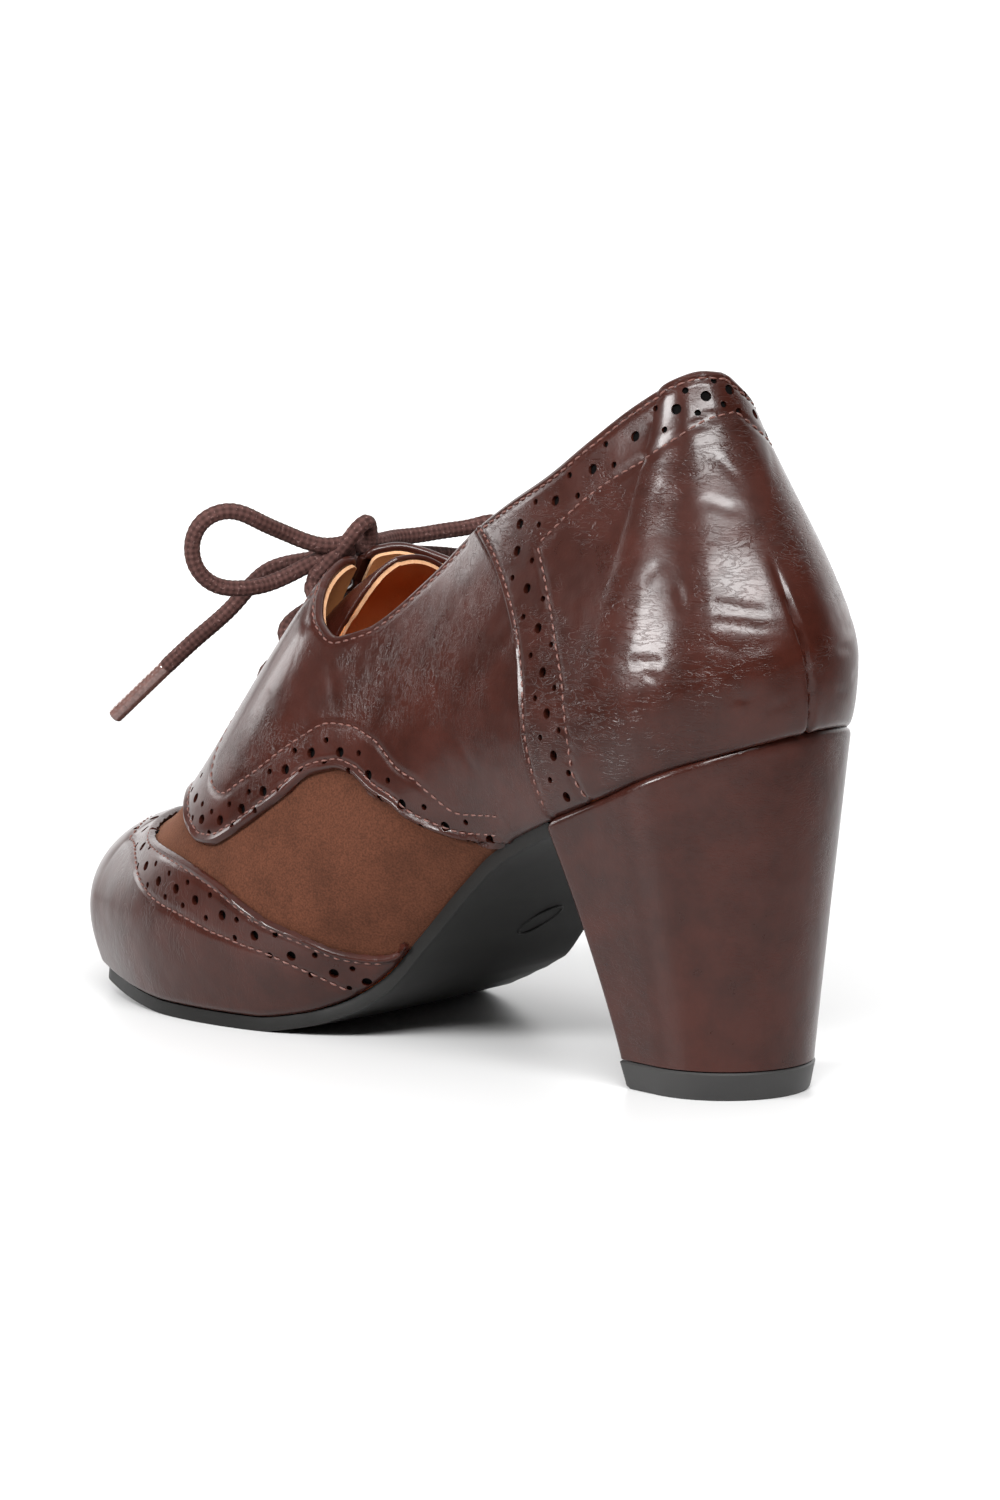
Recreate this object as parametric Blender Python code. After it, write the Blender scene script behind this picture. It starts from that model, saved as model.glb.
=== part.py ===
"""Heeled wing-tip lace-up shoe (left foot): metres, +Z up, toe towards -X, outer side towards -Y."""

import math
from collections import namedtuple

import bpy
import numpy as np

# Driving sizes of the last, in metres.
LENGTH = 0.222
BALL_WIDTH = 0.078
HEEL_HEIGHT = 0.078
INSTEP_HEIGHT = 0.100

# Thicknesses and clearances.
GAP = 0.0003
SKIN_GAP = 0.0006
PANEL_FOOT = 0.018
WALL = 0.0018
OVERLAY = 0.0011
COUNTER = 0.0014
SOLE = 0.0030
SOLE_MARGIN = 0.0008
INSOLE = 0.0022
TONGUE = 0.0020
LACE = 0.0038

# The last is drawn from the heel axis to the toe axis, with a fan of sections round each end.
HEEL_AXIS = 0.162 * LENGTH
TOE_AXIS = 0.896 * LENGTH
FULL_SHARE = 0.22
CROWN_PULL = 0.58
OPEN_PULL = 0.45
TOE_PITCH = 0.02
HEEL_BACK = {"foot": 0.0135 * LENGTH, "full": 0.0027 * LENGTH, "top": 0.128 * LENGTH}
TOE_TIP = {"foot": 0.964 * LENGTH, "full": 0.984 * LENGTH, "top": TOE_AXIS}

# Sections: place along the length, half-widths as shares of half the ball width, heights as shares of the
# instep height. foot is the edge at the sole, full the fullest line, top the ridge or the open top.
Section = namedtuple(
    "Section", "at foot_out foot_in full_out full_in full_up top half_top crown upright axis"
)
SECTIONS = [
    Section(0.162, 0.700, 0.700, 0.764, 0.764, 0.145, 1.520, 0.235, 0.30, 0.21, 0.000),
    Section(0.270, 0.615, 0.705, 0.738, 0.782, 0.190, 1.400, 0.372, 0.30, 0.24, 0.000),
    Section(0.383, 0.513, 0.620, 0.731, 0.800, 0.260, 1.260, 0.308, 0.50, 0.36, -0.013),
    Section(0.495, 0.564, 0.700, 0.795, 0.880, 0.260, 1.140, 0.128, 0.85, 0.42, -0.064),
    Section(0.608, 0.782, 0.915, 0.918, 0.995, 0.210, 1.050, 0.000, 1.00, 0.45, -0.103),
    Section(0.721, 0.923, 1.000, 0.987, 1.045, 0.160, 0.760, 0.000, 1.00, 0.45, -0.090),
    Section(0.811, 0.872, 0.895, 0.936, 0.950, 0.140, 0.510, 0.000, 1.00, 0.48, -0.090),
    Section(0.896, 0.718, 0.690, 0.795, 0.765, 0.125, 0.390, 0.000, 1.00, 0.60, -0.090),
]
CLOSED_FROM = 0.600

# Seat line of the upper, heel to toe: place along the length, height as a share of the heel height.
Seat = namedtuple("Seat", "at height")
SEAT = [
    Seat(0.009, 1.000),
    Seat(0.090, 0.910),
    Seat(0.162, 0.821),
    Seat(0.221, 0.746),
    Seat(0.279, 0.674),
    Seat(0.338, 0.590),
    Seat(0.392, 0.477),
    Seat(0.446, 0.331),
    Seat(0.495, 0.186),
    Seat(0.536, 0.110),
    Seat(0.581, 0.064),
    Seat(0.630, (SOLE + GAP) / HEEL_HEIGHT),
    Seat(0.755, (SOLE + GAP) / HEEL_HEIGHT),
    Seat(0.800, 0.050),
    Seat(0.856, 0.064),
    Seat(0.923, 0.088),
    Seat(0.982, 0.113),
    Seat(1.027, 0.136),
]

# Arch: how far the seat line of the inner side stands above that of the outer side.
Arch = namedtuple("Arch", "at lift")
ARCH = [
    Arch(0.250, 0.0),
    Arch(0.380, 0.0005),
    Arch(0.450, 0.0012),
    Arch(0.485, 0.0020),
    Arch(0.520, 0.0038),
    Arch(0.555, 0.0046),
    Arch(0.590, 0.0040),
    Arch(0.625, 0.0026),
    Arch(0.660, 0.0008),
    Arch(0.690, 0.0),
    Arch(1.030, 0.0),
]
SOLE_COLUMNS = 5

# Pattern lines on the wall. along: 0 heel back, 1 heel axis, 2 toe axis, 3 toe tip; up: 0 sole, 1 ridge.
Collar = namedtuple("Collar", "along up_out up_in below")
COLLAR = [
    Collar(0.000, 0.955, 0.955, 0.000),
    Collar(0.350, 0.962, 0.900, 0.300),
    Collar(0.700, 0.950, 0.868, 0.620),
    Collar(1.000, 0.930, 0.856, 0.950),
    Collar(1.094, 0.894, 0.848, 1.060),
    Collar(1.158, 0.862, 0.826, 1.120),
    Collar(1.231, 0.838, 0.808, 1.190),
    Collar(1.307, 0.800, 0.778, 1.260),
    Collar(1.362, 0.740, 0.728, 1.330),
    Collar(1.432, 0.684, 0.675, 1.400),
    Collar(1.480, 0.660, 0.655, 1.450),
    Collar(1.527, 0.656, 0.655, 1.500),
    Collar(1.576, 0.702, 0.702, 1.550),
    Collar(1.617, 0.800, 0.800, 1.590),
    Collar(1.640, 0.890, 0.890, 1.625),
    Collar(1.655, 0.955, 0.955, 1.665),
    Collar(1.735, 0.958, 0.958, 1.735),
    Collar(1.815, 0.960, 0.960, 1.810),
    Collar(1.850, 1.000, 1.000, 1.860),
    Collar(2.000, 1.000, 1.000, 2.000),
    Collar(2.500, 1.000, 1.000, 2.500),
    Collar(3.000, 1.000, 1.000, 3.000),
]

# Quarter: lower edge from the ridge to the counter, with the matching place on the collar line.
Quarter = namedtuple("Quarter", "along up top")
QUARTER = [
    Quarter(1.905, 1.000, 18.0),
    Quarter(1.880, 0.800, 17.2),
    Quarter(1.815, 0.580, 16.4),
    Quarter(1.755, 0.440, 15.6),
    Quarter(1.690, 0.378, 15.0),
    Quarter(1.624, 0.384, 13.9),
    Quarter(1.572, 0.397, 12.8),
    Quarter(1.531, 0.415, 11.9),
    Quarter(1.490, 0.406, 11.2),
    Quarter(1.457, 0.376, 10.6),
    Quarter(1.404, 0.270, 9.8),
    Quarter(1.355, 0.164, 9.1),
    Quarter(1.312, 0.096, 8.5),
    Quarter(1.266, 0.042, 8.0),
    Quarter(1.203, 0.000, 7.5),
    Quarter(1.100, 0.000, 7.0),
]

# Front edge of the counter: how far it bows back from the straight line between its foot and its top.
Bow = namedtuple("Bow", "rise back")
BOW = [Bow(0.0, 0.0), Bow(0.27, 0.025), Bow(0.54, 0.055), Bow(0.76, 0.045), Bow(1.0, 0.0)]

# Rear edge of the toe cap, wing end to ridge.
Wing = namedtuple("Wing", "along up")
WING = [
    Wing(1.412, 0.000),
    Wing(1.440, 0.030),
    Wing(1.484, 0.083),
    Wing(1.542, 0.166),
    Wing(1.597, 0.230),
    Wing(1.660, 0.289),
    Wing(1.760, 0.384),
    Wing(1.895, 0.566),
    Wing(1.955, 0.740),
    Wing(1.985, 0.900),
    Wing(2.000, 1.000),
]

WING_END = 0.012

# Heel block: back, front, half-width and length of the rounded back, by level from the rim to the foot.
Heel = namedtuple("Heel", "back front half arc")
HEEL_RIM = Heel(0.0034, 0.0486, 0.0277, 0.0240)
HEEL_FOOT = Heel(0.0079, 0.0362, 0.0181, 0.0190)
TOP_PIECE = 0.0060
TOP_PIECE_MARGIN = 0.0005
# Inset and depth of the rounded lip under the rim.
Lip = namedtuple("Lip", "inset depth")
HEEL_LIP = [Lip(0.0022, 0.0), Lip(0.0008, 0.0006), Lip(0.0, 0.0020)]

# Lace: crossings by place along the throat, then the bow in steps along, across and up from its knot.
CROSSINGS = (1.680, 1.732, 1.780, 1.822)
CROSSING_REACH = 0.90
Step = namedtuple("Step", "fore side up")
KNOT_AT = 1.650
KNOT_LIFT = 0.0072
KNOT_SAG = 0.0019
KNOT_SIZE = 0.0108
KNOT_LEAD = 0.0014
LOOP_OUT = [
    Step(0.0020, -0.0095, -0.0006),
    Step(0.0036, -0.0140, 0.0009),
    Step(0.0038, -0.0220, 0.0043),
    Step(0.0058, -0.0285, 0.0068),
    Step(0.0087, -0.0328, 0.0052),
    Step(0.0120, -0.0342, -0.0006),
    Step(0.0124, -0.0325, -0.0062),
    Step(0.0113, -0.0280, -0.0100),
    Step(0.0091, -0.0215, -0.0108),
    Step(0.0085, -0.0160, -0.0102),
    Step(0.0036, -0.0088, -0.0042),
]
LOOP_IN = [
    Step(0.0010, 0.0088, -0.0004),
    Step(0.0028, 0.0150, -0.0016),
    Step(0.0030, 0.0220, -0.0015),
    Step(0.0020, 0.0290, -0.0009),
    Step(0.0002, 0.0360, -0.0001),
    Step(-0.0022, 0.0405, 0.0004),
    Step(-0.0026, 0.0428, -0.0014),
    Step(0.0000, 0.0430, -0.0048),
    Step(0.0042, 0.0415, -0.0076),
    Step(0.0070, 0.0350, -0.0073),
    Step(0.0070, 0.0260, -0.0062),
    Step(0.0068, 0.0180, -0.0055),
    Step(0.0056, 0.0100, -0.0048),
]
END_OUT = [
    Step(0.0085, -0.0045, -0.0048),
    Step(0.0173, -0.0100, -0.0088),
    Step(0.0221, -0.0150, -0.0160),
    Step(0.0286, -0.0200, -0.0234),
    Step(0.0362, -0.0240, -0.0310),
]
END_IN = [
    Step(0.0090, 0.0030, -0.0025),
    Step(0.0136, 0.013, -0.009),
    Step(0.0186, 0.020, -0.018),
    Step(0.0226, 0.025, -0.028),
]
AGLET_LENGTH = 0.0175
AGLET_WIDTH = 0.0034
TUBE_SIDES = 6

OUTER, INNER = -1.0, 1.0


def spline(rows, column, at):
    """Natural cubic through one column of a table against its first column."""
    x = np.array([row[0] for row in rows])
    y = np.array([getattr(row, column) for row in rows])
    h = np.diff(x)
    n = len(x)
    left = np.eye(n)
    right = np.zeros(n)
    for i in range(1, n - 1):
        left[i, i - 1:i + 2] = h[i - 1], 2 * (h[i - 1] + h[i]), h[i]
        right[i] = 6 * ((y[i + 1] - y[i]) / h[i] - (y[i] - y[i - 1]) / h[i - 1])
    bend = np.linalg.solve(left, right)
    at = np.clip(at, x[0], x[-1])
    i = np.clip(np.searchsorted(x, at) - 1, 0, n - 2)
    a = (x[i + 1] - at) / h[i]
    b = 1 - a
    curve = ((a ** 3 - a) * bend[i] + (b ** 3 - b) * bend[i + 1]) * h[i] ** 2 / 6
    return a * y[i] + b * y[i + 1] + curve


def monotone(x, y, at):
    """Cubic through points that never runs past them, so that flat stretches stay flat."""
    x, y, at = np.asarray(x, float), np.asarray(y, float), np.asarray(at, float)
    h = np.diff(x)
    slope = np.diff(y) / h
    tangent = np.zeros(len(x))
    tangent[0], tangent[-1] = slope[0], slope[-1]
    for i in range(1, len(x) - 1):
        if slope[i - 1] * slope[i] > 0:
            w1, w2 = 2 * h[i] + h[i - 1], h[i] + 2 * h[i - 1]
            tangent[i] = (w1 + w2) / (w1 / slope[i - 1] + w2 / slope[i])
    at = np.clip(at, x[0], x[-1])
    i = np.clip(np.searchsorted(x, at) - 1, 0, len(x) - 2)
    t = (at - x[i]) / h[i]
    return (
        (1 + 2 * t) * (1 - t) ** 2 * y[i]
        + t * (1 - t) ** 2 * h[i] * tangent[i]
        + t * t * (3 - 2 * t) * y[i + 1]
        + t * t * (t - 1) * h[i] * tangent[i + 1]
    )


def seat_height(s):
    """Height of the seat line at a distance from the heel back."""
    return monotone([row.at * LENGTH for row in SEAT], [row.height * HEEL_HEIGHT for row in SEAT], s)


def seat_slope(s):
    """Slope of the seat line there."""
    step = 0.0005
    return (seat_height(s + step) - seat_height(s - step)) / (2 * step)


def seat_at(s, share):
    """Height of the seat across the foot: share is -1 at the outer edge and 1 at the inner edge."""
    lift = monotone([row.at * LENGTH for row in ARCH], [row.lift for row in ARCH], s)
    return seat_height(s) + lift * ((1 + share) / 2) ** 2


def plan(along, side, level):
    """Distance from the heel, offset from the middle, and section place, of a level of the last."""
    heel = np.clip(along, 0, 1) * math.pi / 2
    toe = np.clip(along - 2, 0, 1) * math.pi / 2
    s = HEEL_AXIS + (TOE_AXIS - HEEL_AXIS) * np.clip(along - 1, 0, 1)
    at = s / LENGTH
    back = np.where(along < 1, np.cos(heel), 0.0)
    fore = np.where(along > 2, np.sin(toe), 0.0)
    across = np.where(along < 1, np.sin(heel), np.where(along > 2, np.cos(toe), 1.0))
    if level == "top":
        half = np.where(at >= CLOSED_FROM, 0.0, np.maximum(spline(SECTIONS, "half_top", at), 0.0))
    else:
        half_out = spline(SECTIONS, level + "_out", at)
        half_in = spline(SECTIONS, level + "_in", at)
        half = np.where(side < 0, half_out, half_in)
    axis = spline(SECTIONS, "axis", at) * BALL_WIDTH / 2
    distance = s - back * (HEEL_AXIS - HEEL_BACK[level]) + fore * (TOE_TIP[level] - TOE_AXIS)
    return distance, axis + side * across * half * BALL_WIDTH / 2, at


def wall(along, up, side):
    """Point of the last's surface, as distance from the heel, offset and height."""
    along, up, side = np.broadcast_arrays(*(np.asarray(v, float) for v in (along, up, side)))
    s_foot, y_foot, at = plan(along, side, "foot")
    s_full, y_full, _ = plan(along, side, "full")
    s_top, y_top, _ = plan(along, side, "top")
    z_foot = seat_at(s_foot, side)
    z_full = z_foot + spline(SECTIONS, "full_up", at) * INSTEP_HEIGHT
    z_top = spline(SECTIONS, "top", at) * INSTEP_HEIGHT
    crown = np.clip(spline(SECTIONS, "crown", at), 0, 1)
    upright = spline(SECTIONS, "upright", at)
    low = np.clip(up / FULL_SHARE, 0, 1)
    swell = np.sin(low * math.pi / 2)
    t = np.clip((up - FULL_SHARE) / (1 - FULL_SHARE), 0, 1)
    b0, b1, b2, b3 = (1 - t) ** 3, 3 * t * (1 - t) ** 2, 3 * t * t * (1 - t), t ** 3
    pull = CROWN_PULL * crown
    rise = z_top - z_full
    drop = np.where(along > 2, TOE_PITCH * pull * np.maximum(s_full - s_top, 0), 0.0)
    below = up < FULL_SHARE

    def blend(foot, full, top):
        bulge = top + pull * (full - top)
        return np.where(below, foot + (full - foot) * swell, full * (b0 + b1) + bulge * b2 + top * b3)

    z_crown = z_top - (1 - crown) * OPEN_PULL * rise - drop
    z = np.where(
        below,
        z_foot + (z_full - z_foot) * low,
        z_full * b0 + (z_full + upright * rise) * b1 + z_crown * b2 + z_top * b3,
    )
    return np.stack([blend(s_foot, s_full, s_top), blend(y_foot, y_full, y_top), z], -1)


def skin(along, up, side, lift):
    """Points at a distance outside the last's surface."""
    along, up, side = np.broadcast_arrays(*(np.asarray(v, float) for v in (along, up, side)))
    step = 0.004
    a0, a1 = np.clip(along - step, 0, 3), np.clip(along + step, 0, 3)
    inside = np.where(along >= 1.98, np.minimum(up, 0.985), up)
    u0, u1 = np.clip(inside - step, 0, 1), np.clip(inside + step, 0, 1)
    lengthwise = wall(a1, inside, side) - wall(a0, inside, side)
    upwards = wall(along, u1, side) - wall(along, u0, side)
    normal = np.cross(upwards, lengthwise) * side[..., None]
    middle = (along <= 0) | (along >= 3) | ((up >= 1) & (along > 1.5))
    normal[..., 1] = np.where(middle, 0.0, normal[..., 1])
    pole = (up >= 1) & (along >= 2)
    normal[pole] = (0.12, 0.0, 1.0)
    normal = normal / np.linalg.norm(normal, axis=-1, keepdims=True)
    return wall(along, up, side) + lift * normal


def to_frame(points):
    """Shoe distances to the part's frame: middle of the length at x = 0, toe towards -X."""
    points = np.asarray(points, float).copy()
    points[..., 0] = X_BACK - points[..., 0]
    points[..., 1] -= Y_MIDDLE
    return points


def material(name, colour, roughness):
    made = bpy.data.materials.new(name)
    made.use_nodes = True
    shader = made.node_tree.nodes["Principled BSDF"]
    shader.inputs["Base Color"].default_value = (*colour, 1.0)
    shader.inputs["Roughness"].default_value = roughness
    return made


def add_object(name, points, faces, look):
    mesh = bpy.data.meshes.new(name)
    mesh.from_pydata([tuple(p) for p in to_frame(points)], [], faces)
    mesh.materials.append(look)
    mesh.validate()
    made = bpy.data.objects.new(name, mesh)
    bpy.context.scene.collection.objects.link(made)
    bpy.ops.object.select_all(action="DESELECT")
    bpy.context.view_layer.objects.active = made
    made.select_set(True)
    bpy.ops.object.mode_set(mode="EDIT")
    bpy.ops.mesh.select_all(action="SELECT")
    bpy.ops.mesh.normals_make_consistent(inside=False)
    bpy.ops.object.mode_set(mode="OBJECT")
    return made


def shell(name, outside, inside, loop, look):
    """Closed solid between two grids of points (columns by rows); loop joins the last column to the first."""
    columns, rows = outside.shape[:2]
    front = outside.reshape(-1, 3)
    rear = inside.reshape(-1, 3)
    places = {}
    weld = [places.setdefault(tuple(np.round(p, 6)), k) for k, p in enumerate(front)]
    used = sorted(set(weld))
    number = {k: i for i, k in enumerate(used)}
    count = len(used)
    sheet = []
    last = columns if loop else columns - 1
    for i in range(last):
        for j in range(rows - 1):
            k = (i + 1) % columns
            corners = [weld[i * rows + j], weld[k * rows + j], weld[k * rows + j + 1], weld[i * rows + j + 1]]
            face = [number[c] for n, c in enumerate(corners) if c != corners[n - 1]]
            if len(set(face)) >= 3 and len(set(face)) == len(face):
                sheet.append(face)
    edges = {}
    for face in sheet:
        for n, a in enumerate(face):
            pair = (face[n - 1], a)
            edges.setdefault(tuple(sorted(pair)), []).append(pair)
    faces = list(sheet)
    faces += [[count + a for a in reversed(face)] for face in sheet]
    for pairs in edges.values():
        if len(pairs) == 1:
            a, b = pairs[0]
            faces.append([b, a, count + a, count + b])
    points = np.concatenate([front[used], rear[used]])
    return add_object(name, points, faces, look)


def collar_line(place, side):
    """Place on the wall's top edge: along, up and the matching place at the sole."""
    index = np.arange(len(COLLAR))
    column = "up_out" if side < 0 else "up_in"
    along = monotone(index, [row.along for row in COLLAR], place)
    up = monotone(index, [getattr(row, column) for row in COLLAR], place)
    below = monotone(index, [row.below for row in COLLAR], place)
    return along, up, below


def even_places(line, count):
    """Places along a line of (along, up) at even distances on the surface, both of its edges counted."""
    fine = np.linspace(0, len(COLLAR) - 1, 600)
    along, up, below = line(fine)
    upper_edge = wall(along, up, OUTER)
    lower_edge = wall(below, 0 * below, OUTER)
    lengths = [np.linalg.norm(np.diff(edge, axis=0), axis=1) for edge in (upper_edge, lower_edge)]
    total = np.concatenate([[0], np.cumsum(lengths[0] + lengths[1])])
    return np.interp(np.linspace(0, total[-1], count), total, fine)


def spread(rows, count):
    """Places in a table of (along, up) rows at even distances on the surface."""
    fine = np.linspace(0, len(rows) - 1, 400)
    index = np.arange(len(rows))
    along = monotone(index, [row.along for row in rows], fine)
    up = monotone(index, [row.up for row in rows], fine)
    steps = np.linalg.norm(np.diff(wall(along, up, OUTER), axis=0), axis=1)
    total = np.concatenate([[0], np.cumsum(steps)])
    return np.interp(np.linspace(0, total[-1], count), total, fine)


def upper_grid(columns, rows):
    """Along, up and side of the whole wall: outer side heel to toe, then inner side toe to heel."""
    places = even_places(lambda p: collar_line(p, OUTER), columns)
    share = np.linspace(0, 1, rows)
    grids = []
    for side in (OUTER, INNER):
        along, up, below = collar_line(places, side)
        a = below[:, None] + (along - below)[:, None] * share
        u = up[:, None] * share
        grids.append((a, u, np.full_like(a, side)))
    return [np.concatenate([p, q[-2:0:-1]]) for p, q in zip(*grids)]


def panel_grid(low_along, low_up, top_along, top_up, rows, bowed):
    """Grid between two edges; bowed is the share of the counter's bow that each column takes."""
    share = np.linspace(0, 1, rows)
    bend = spline(BOW, "back", share)
    a = low_along[:, None] + (top_along - low_along)[:, None] * share - bowed[:, None] * bend
    u = low_up[:, None] + (top_up - low_up)[:, None] * share
    return a, u


def panel(name, a, u, side, thick, look):
    """Overlay: the piece between two offsets of the wall."""
    u = PANEL_FOOT + (1 - PANEL_FOOT) * u
    return shell(name, skin(a, u, side, SKIN_GAP + thick), skin(a, u, side, SKIN_GAP), False, look)


def slab(name, along, bounds, top, bottom, look):
    """Plate between two heights; bounds gives the edges across at each place along the length."""
    s, y_out, y_in = bounds(along)
    share = np.linspace(-1, 1, SOLE_COLUMNS)
    y = (y_out + y_in)[:, None] / 2 + (y_in - y_out)[:, None] / 2 * share
    s = np.broadcast_to(s[:, None], y.shape)
    grids = [np.stack([s, y, height(s, share)], -1) for height in (top, bottom)]
    return shell(name, grids[0], grids[1], False, look)


def foot_bounds(margin):
    """Edges of the foot line moved outwards by a margin."""
    def bounds(along):
        s, y_out, _ = plan(along, np.full_like(along, OUTER), "foot")
        _, y_in, _ = plan(along, np.full_like(along, INNER), "foot")
        middle = (y_out + y_in) / 2
        half = (y_in - y_out) / 2
        back = np.where(along < 1, np.cos(np.clip(along, 0, 1) * math.pi / 2), 0.0)
        fore = np.where(along > 2, np.sin(np.clip(along - 2, 0, 1) * math.pi / 2), 0.0)
        across = np.sqrt(1 - np.maximum(back, fore) ** 2)
        half = half + margin * across
        return s + margin * (fore - back), middle - half, middle + half
    return bounds


def sole_top(s, share):
    return seat_at(s, share) - GAP


def sole_bottom(s, share):
    return seat_at(s, share) - GAP - SOLE * np.sqrt(1 + seat_slope(s) ** 2)


def insole_bottom(s, share):
    return seat_at(s, share) + GAP / 2


def insole_top(s, share):
    return seat_at(s, share) + GAP / 2 + INSOLE * np.sqrt(1 + seat_slope(s) ** 2)


def heel_outline(shape, count):
    """Distances and half-widths of a D outline, back to front."""
    turn = np.linspace(0, math.pi / 2, count)
    arc_s = shape.back + shape.arc * (1 - np.cos(turn))
    straight = np.linspace(shape.back + shape.arc, shape.front, 6)[1:]
    s = np.concatenate([arc_s, straight])
    half = np.concatenate([shape.half * np.sin(turn), np.full(len(straight), shape.half)])
    return s, half


def heel_solid(name, levels, look):
    """Loft through D outlines (shape, height function), capped across at both ends."""
    points, faces = [], []
    rings = []
    for shape, height in levels:
        s, half = heel_outline(shape, 13)
        z = height(s)
        left = [(a, -b, c) for a, b, c in zip(s, half, z)]
        right = [(a, b, c) for a, b, c in zip(s, half, z)][1:]
        rings.append((len(points), len(s)))
        points += left + right
    n = rings[0][1]
    order = list(range(n)) + [n + k for k in range(n - 2, -1, -1)]

    def right_of(k):
        return 0 if k == 0 else n + k - 1

    for (first, _), (second, _) in zip(rings, rings[1:]):
        for p, q in zip(order, order[1:] + order[:1]):
            faces.append([first + p, first + q, second + q, second + p])
    for base, _ in (rings[0], rings[-1]):
        for k in range(n - 1):
            face = [base + k, base + k + 1, base + right_of(k + 1), base + right_of(k)]
            faces.append(face if k else face[:3])
    return add_object(name, np.array(points), faces, look)


def between(first, second, share):
    return Heel(*(a + (b - a) * share for a, b in zip(first, second)))


def inset(shape, by):
    return Heel(shape.back + by, shape.front - by, shape.half - by, shape.arc - by)


def smooth_path(points, count):
    """Cubic through points, evenly stepped."""
    points = np.asarray(points, float)
    steps = np.concatenate([[0], np.cumsum(np.linalg.norm(np.diff(points, axis=0), axis=1))])
    Knot = namedtuple("Knot", "at s y z")
    rows = [Knot(t, *p) for t, p in zip(steps, points)]
    at = np.linspace(0, steps[-1], count)
    return np.stack([spline(rows, axis, at) for axis in ("s", "y", "z")], -1)


def tube_points(path, radii, sides):
    """Rings of points round a path, with the frame carried along it."""
    forward = np.gradient(path, axis=0)
    forward /= np.linalg.norm(forward, axis=1, keepdims=True)
    across = np.cross(forward[0], (0.0, 0.0, 1.0))
    rings = []
    for p, f, r in zip(path, forward, radii):
        across = across - f * (across @ f)
        across /= np.linalg.norm(across)
        up = np.cross(f, across)
        turn = np.arange(sides) * 2 * math.pi / sides
        rings.append(p + r * (np.cos(turn)[:, None] * across + np.sin(turn)[:, None] * up))
    return rings


def tube(name, path, radii, look, sides=TUBE_SIDES):
    """Closed tube along a path."""
    rings = tube_points(np.asarray(path), np.broadcast_to(radii, len(path)), sides)
    points = np.concatenate(rings + [[path[0]], [path[-1]]])
    faces = []
    for i in range(len(rings) - 1):
        for k in range(sides):
            n = (k + 1) % sides
            faces.append([i * sides + k, i * sides + n, (i + 1) * sides + n, (i + 1) * sides + k])
    start, end = len(points) - 2, len(points) - 1
    tail = (len(rings) - 1) * sides
    for k in range(sides):
        n = (k + 1) % sides
        faces.append([start, n, k])
        faces.append([end, tail + k, tail + n])
    return add_object(name, points, faces, look)


def join_union(base, other):
    """Unite two solids into the first."""
    cut = base.modifiers.new("union", "BOOLEAN")
    cut.operation = "UNION"
    cut.solver = "EXACT"
    cut.object = other
    bpy.context.view_layer.objects.active = base
    bpy.ops.object.modifier_apply(modifier="union")
    bpy.data.objects.remove(other, do_unlink=True)


def crossing_path(first_side, over):
    """Lace run from eyelet to eyelet over the throat, side to side."""
    lift = SKIN_GAP + OVERLAY + GAP + LACE / 2 + over
    points = []
    side = first_side
    for along in CROSSINGS:
        points.append(skin(along, CROSSING_REACH, side, lift))
        side = -side
    path = [points[0]]
    for p, q in zip(points, points[1:]):
        middle = (p + q) / 2
        along = float(np.interp(middle[0], [HEEL_AXIS, TOE_AXIS], [1, 2]))
        ridge = skin(along, 1.0, OUTER, lift)
        path += [ridge, q]
    return smooth_path(path, 20)


def off_knot(step):
    """Two points where a strand leaves the knot: on its surface and a little further out."""
    way = np.array(step) / np.linalg.norm(step)
    return [lump + (KNOT_SIZE / 2 + GAP + lead) * way for lead in (0.0, KNOT_LEAD)]


def bow_path(steps, closed, count):
    """Path of one loop (closed) or end, from steps off the knot."""
    middle = [knot + np.array(step) for step in (steps[1:-1] if closed else steps[1:])]
    back = off_knot(steps[-1])[::-1] if closed else []
    return smooth_path(off_knot(steps[0]) + middle + back, count)


for old in list(bpy.data.objects):
    bpy.data.objects.remove(old, do_unlink=True)

X_BACK = LENGTH / 2 - 0.0017
Y_MIDDLE = -0.00235

suede = material("suede", (0.15, 0.06, 0.03), 0.9)
leather = material("leather", (0.07, 0.025, 0.02), 0.35)
lining = material("lining", (0.30, 0.11, 0.03), 0.8)
rubber = material("rubber", (0.015, 0.015, 0.016), 0.5)
cotton = material("cotton", (0.06, 0.035, 0.03), 0.8)
clear_tip = material("clear_tip", (0.06, 0.035, 0.03), 0.2)

# Outsole: thin plate from the heel breast to the toe.
sole_along = np.concatenate([np.linspace(1.085, 2, 24), np.linspace(2, 3, 11)[1:]])
slab("outsole", sole_along, foot_bounds(SOLE_MARGIN), sole_top, sole_bottom, rubber)

# Heel block and its top piece.
def rim_height(drop):
    return lambda s: seat_height(s) - GAP - drop


def level_height(share):
    rim = rim_height(HEEL_LIP[-1].depth)
    return lambda s: rim(s) + (TOP_PIECE + GAP - rim(s)) * share


heel_levels = [(inset(HEEL_RIM, lip.inset), rim_height(lip.depth)) for lip in HEEL_LIP]
for share in (0.25, 0.5, 0.75, 1.0):
    heel_levels.append((between(HEEL_RIM, HEEL_FOOT, 1 - (1 - share) ** 1.06), level_height(share)))
heel_solid("heel_block", heel_levels, leather)
top_piece = inset(HEEL_FOOT, -TOP_PIECE_MARGIN)
heel_solid("heel_top_piece", [(top_piece, lambda s: 0 * s + TOP_PIECE), (top_piece, lambda s: 0 * s)], rubber)

# Upper: the hollow wall, open at the collar, at the throat and underneath.
a, u, side = upper_grid(43, 10)
shell("upper", skin(a, u, side, 0.0), skin(a, u, side, -WALL), True, suede)

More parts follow.
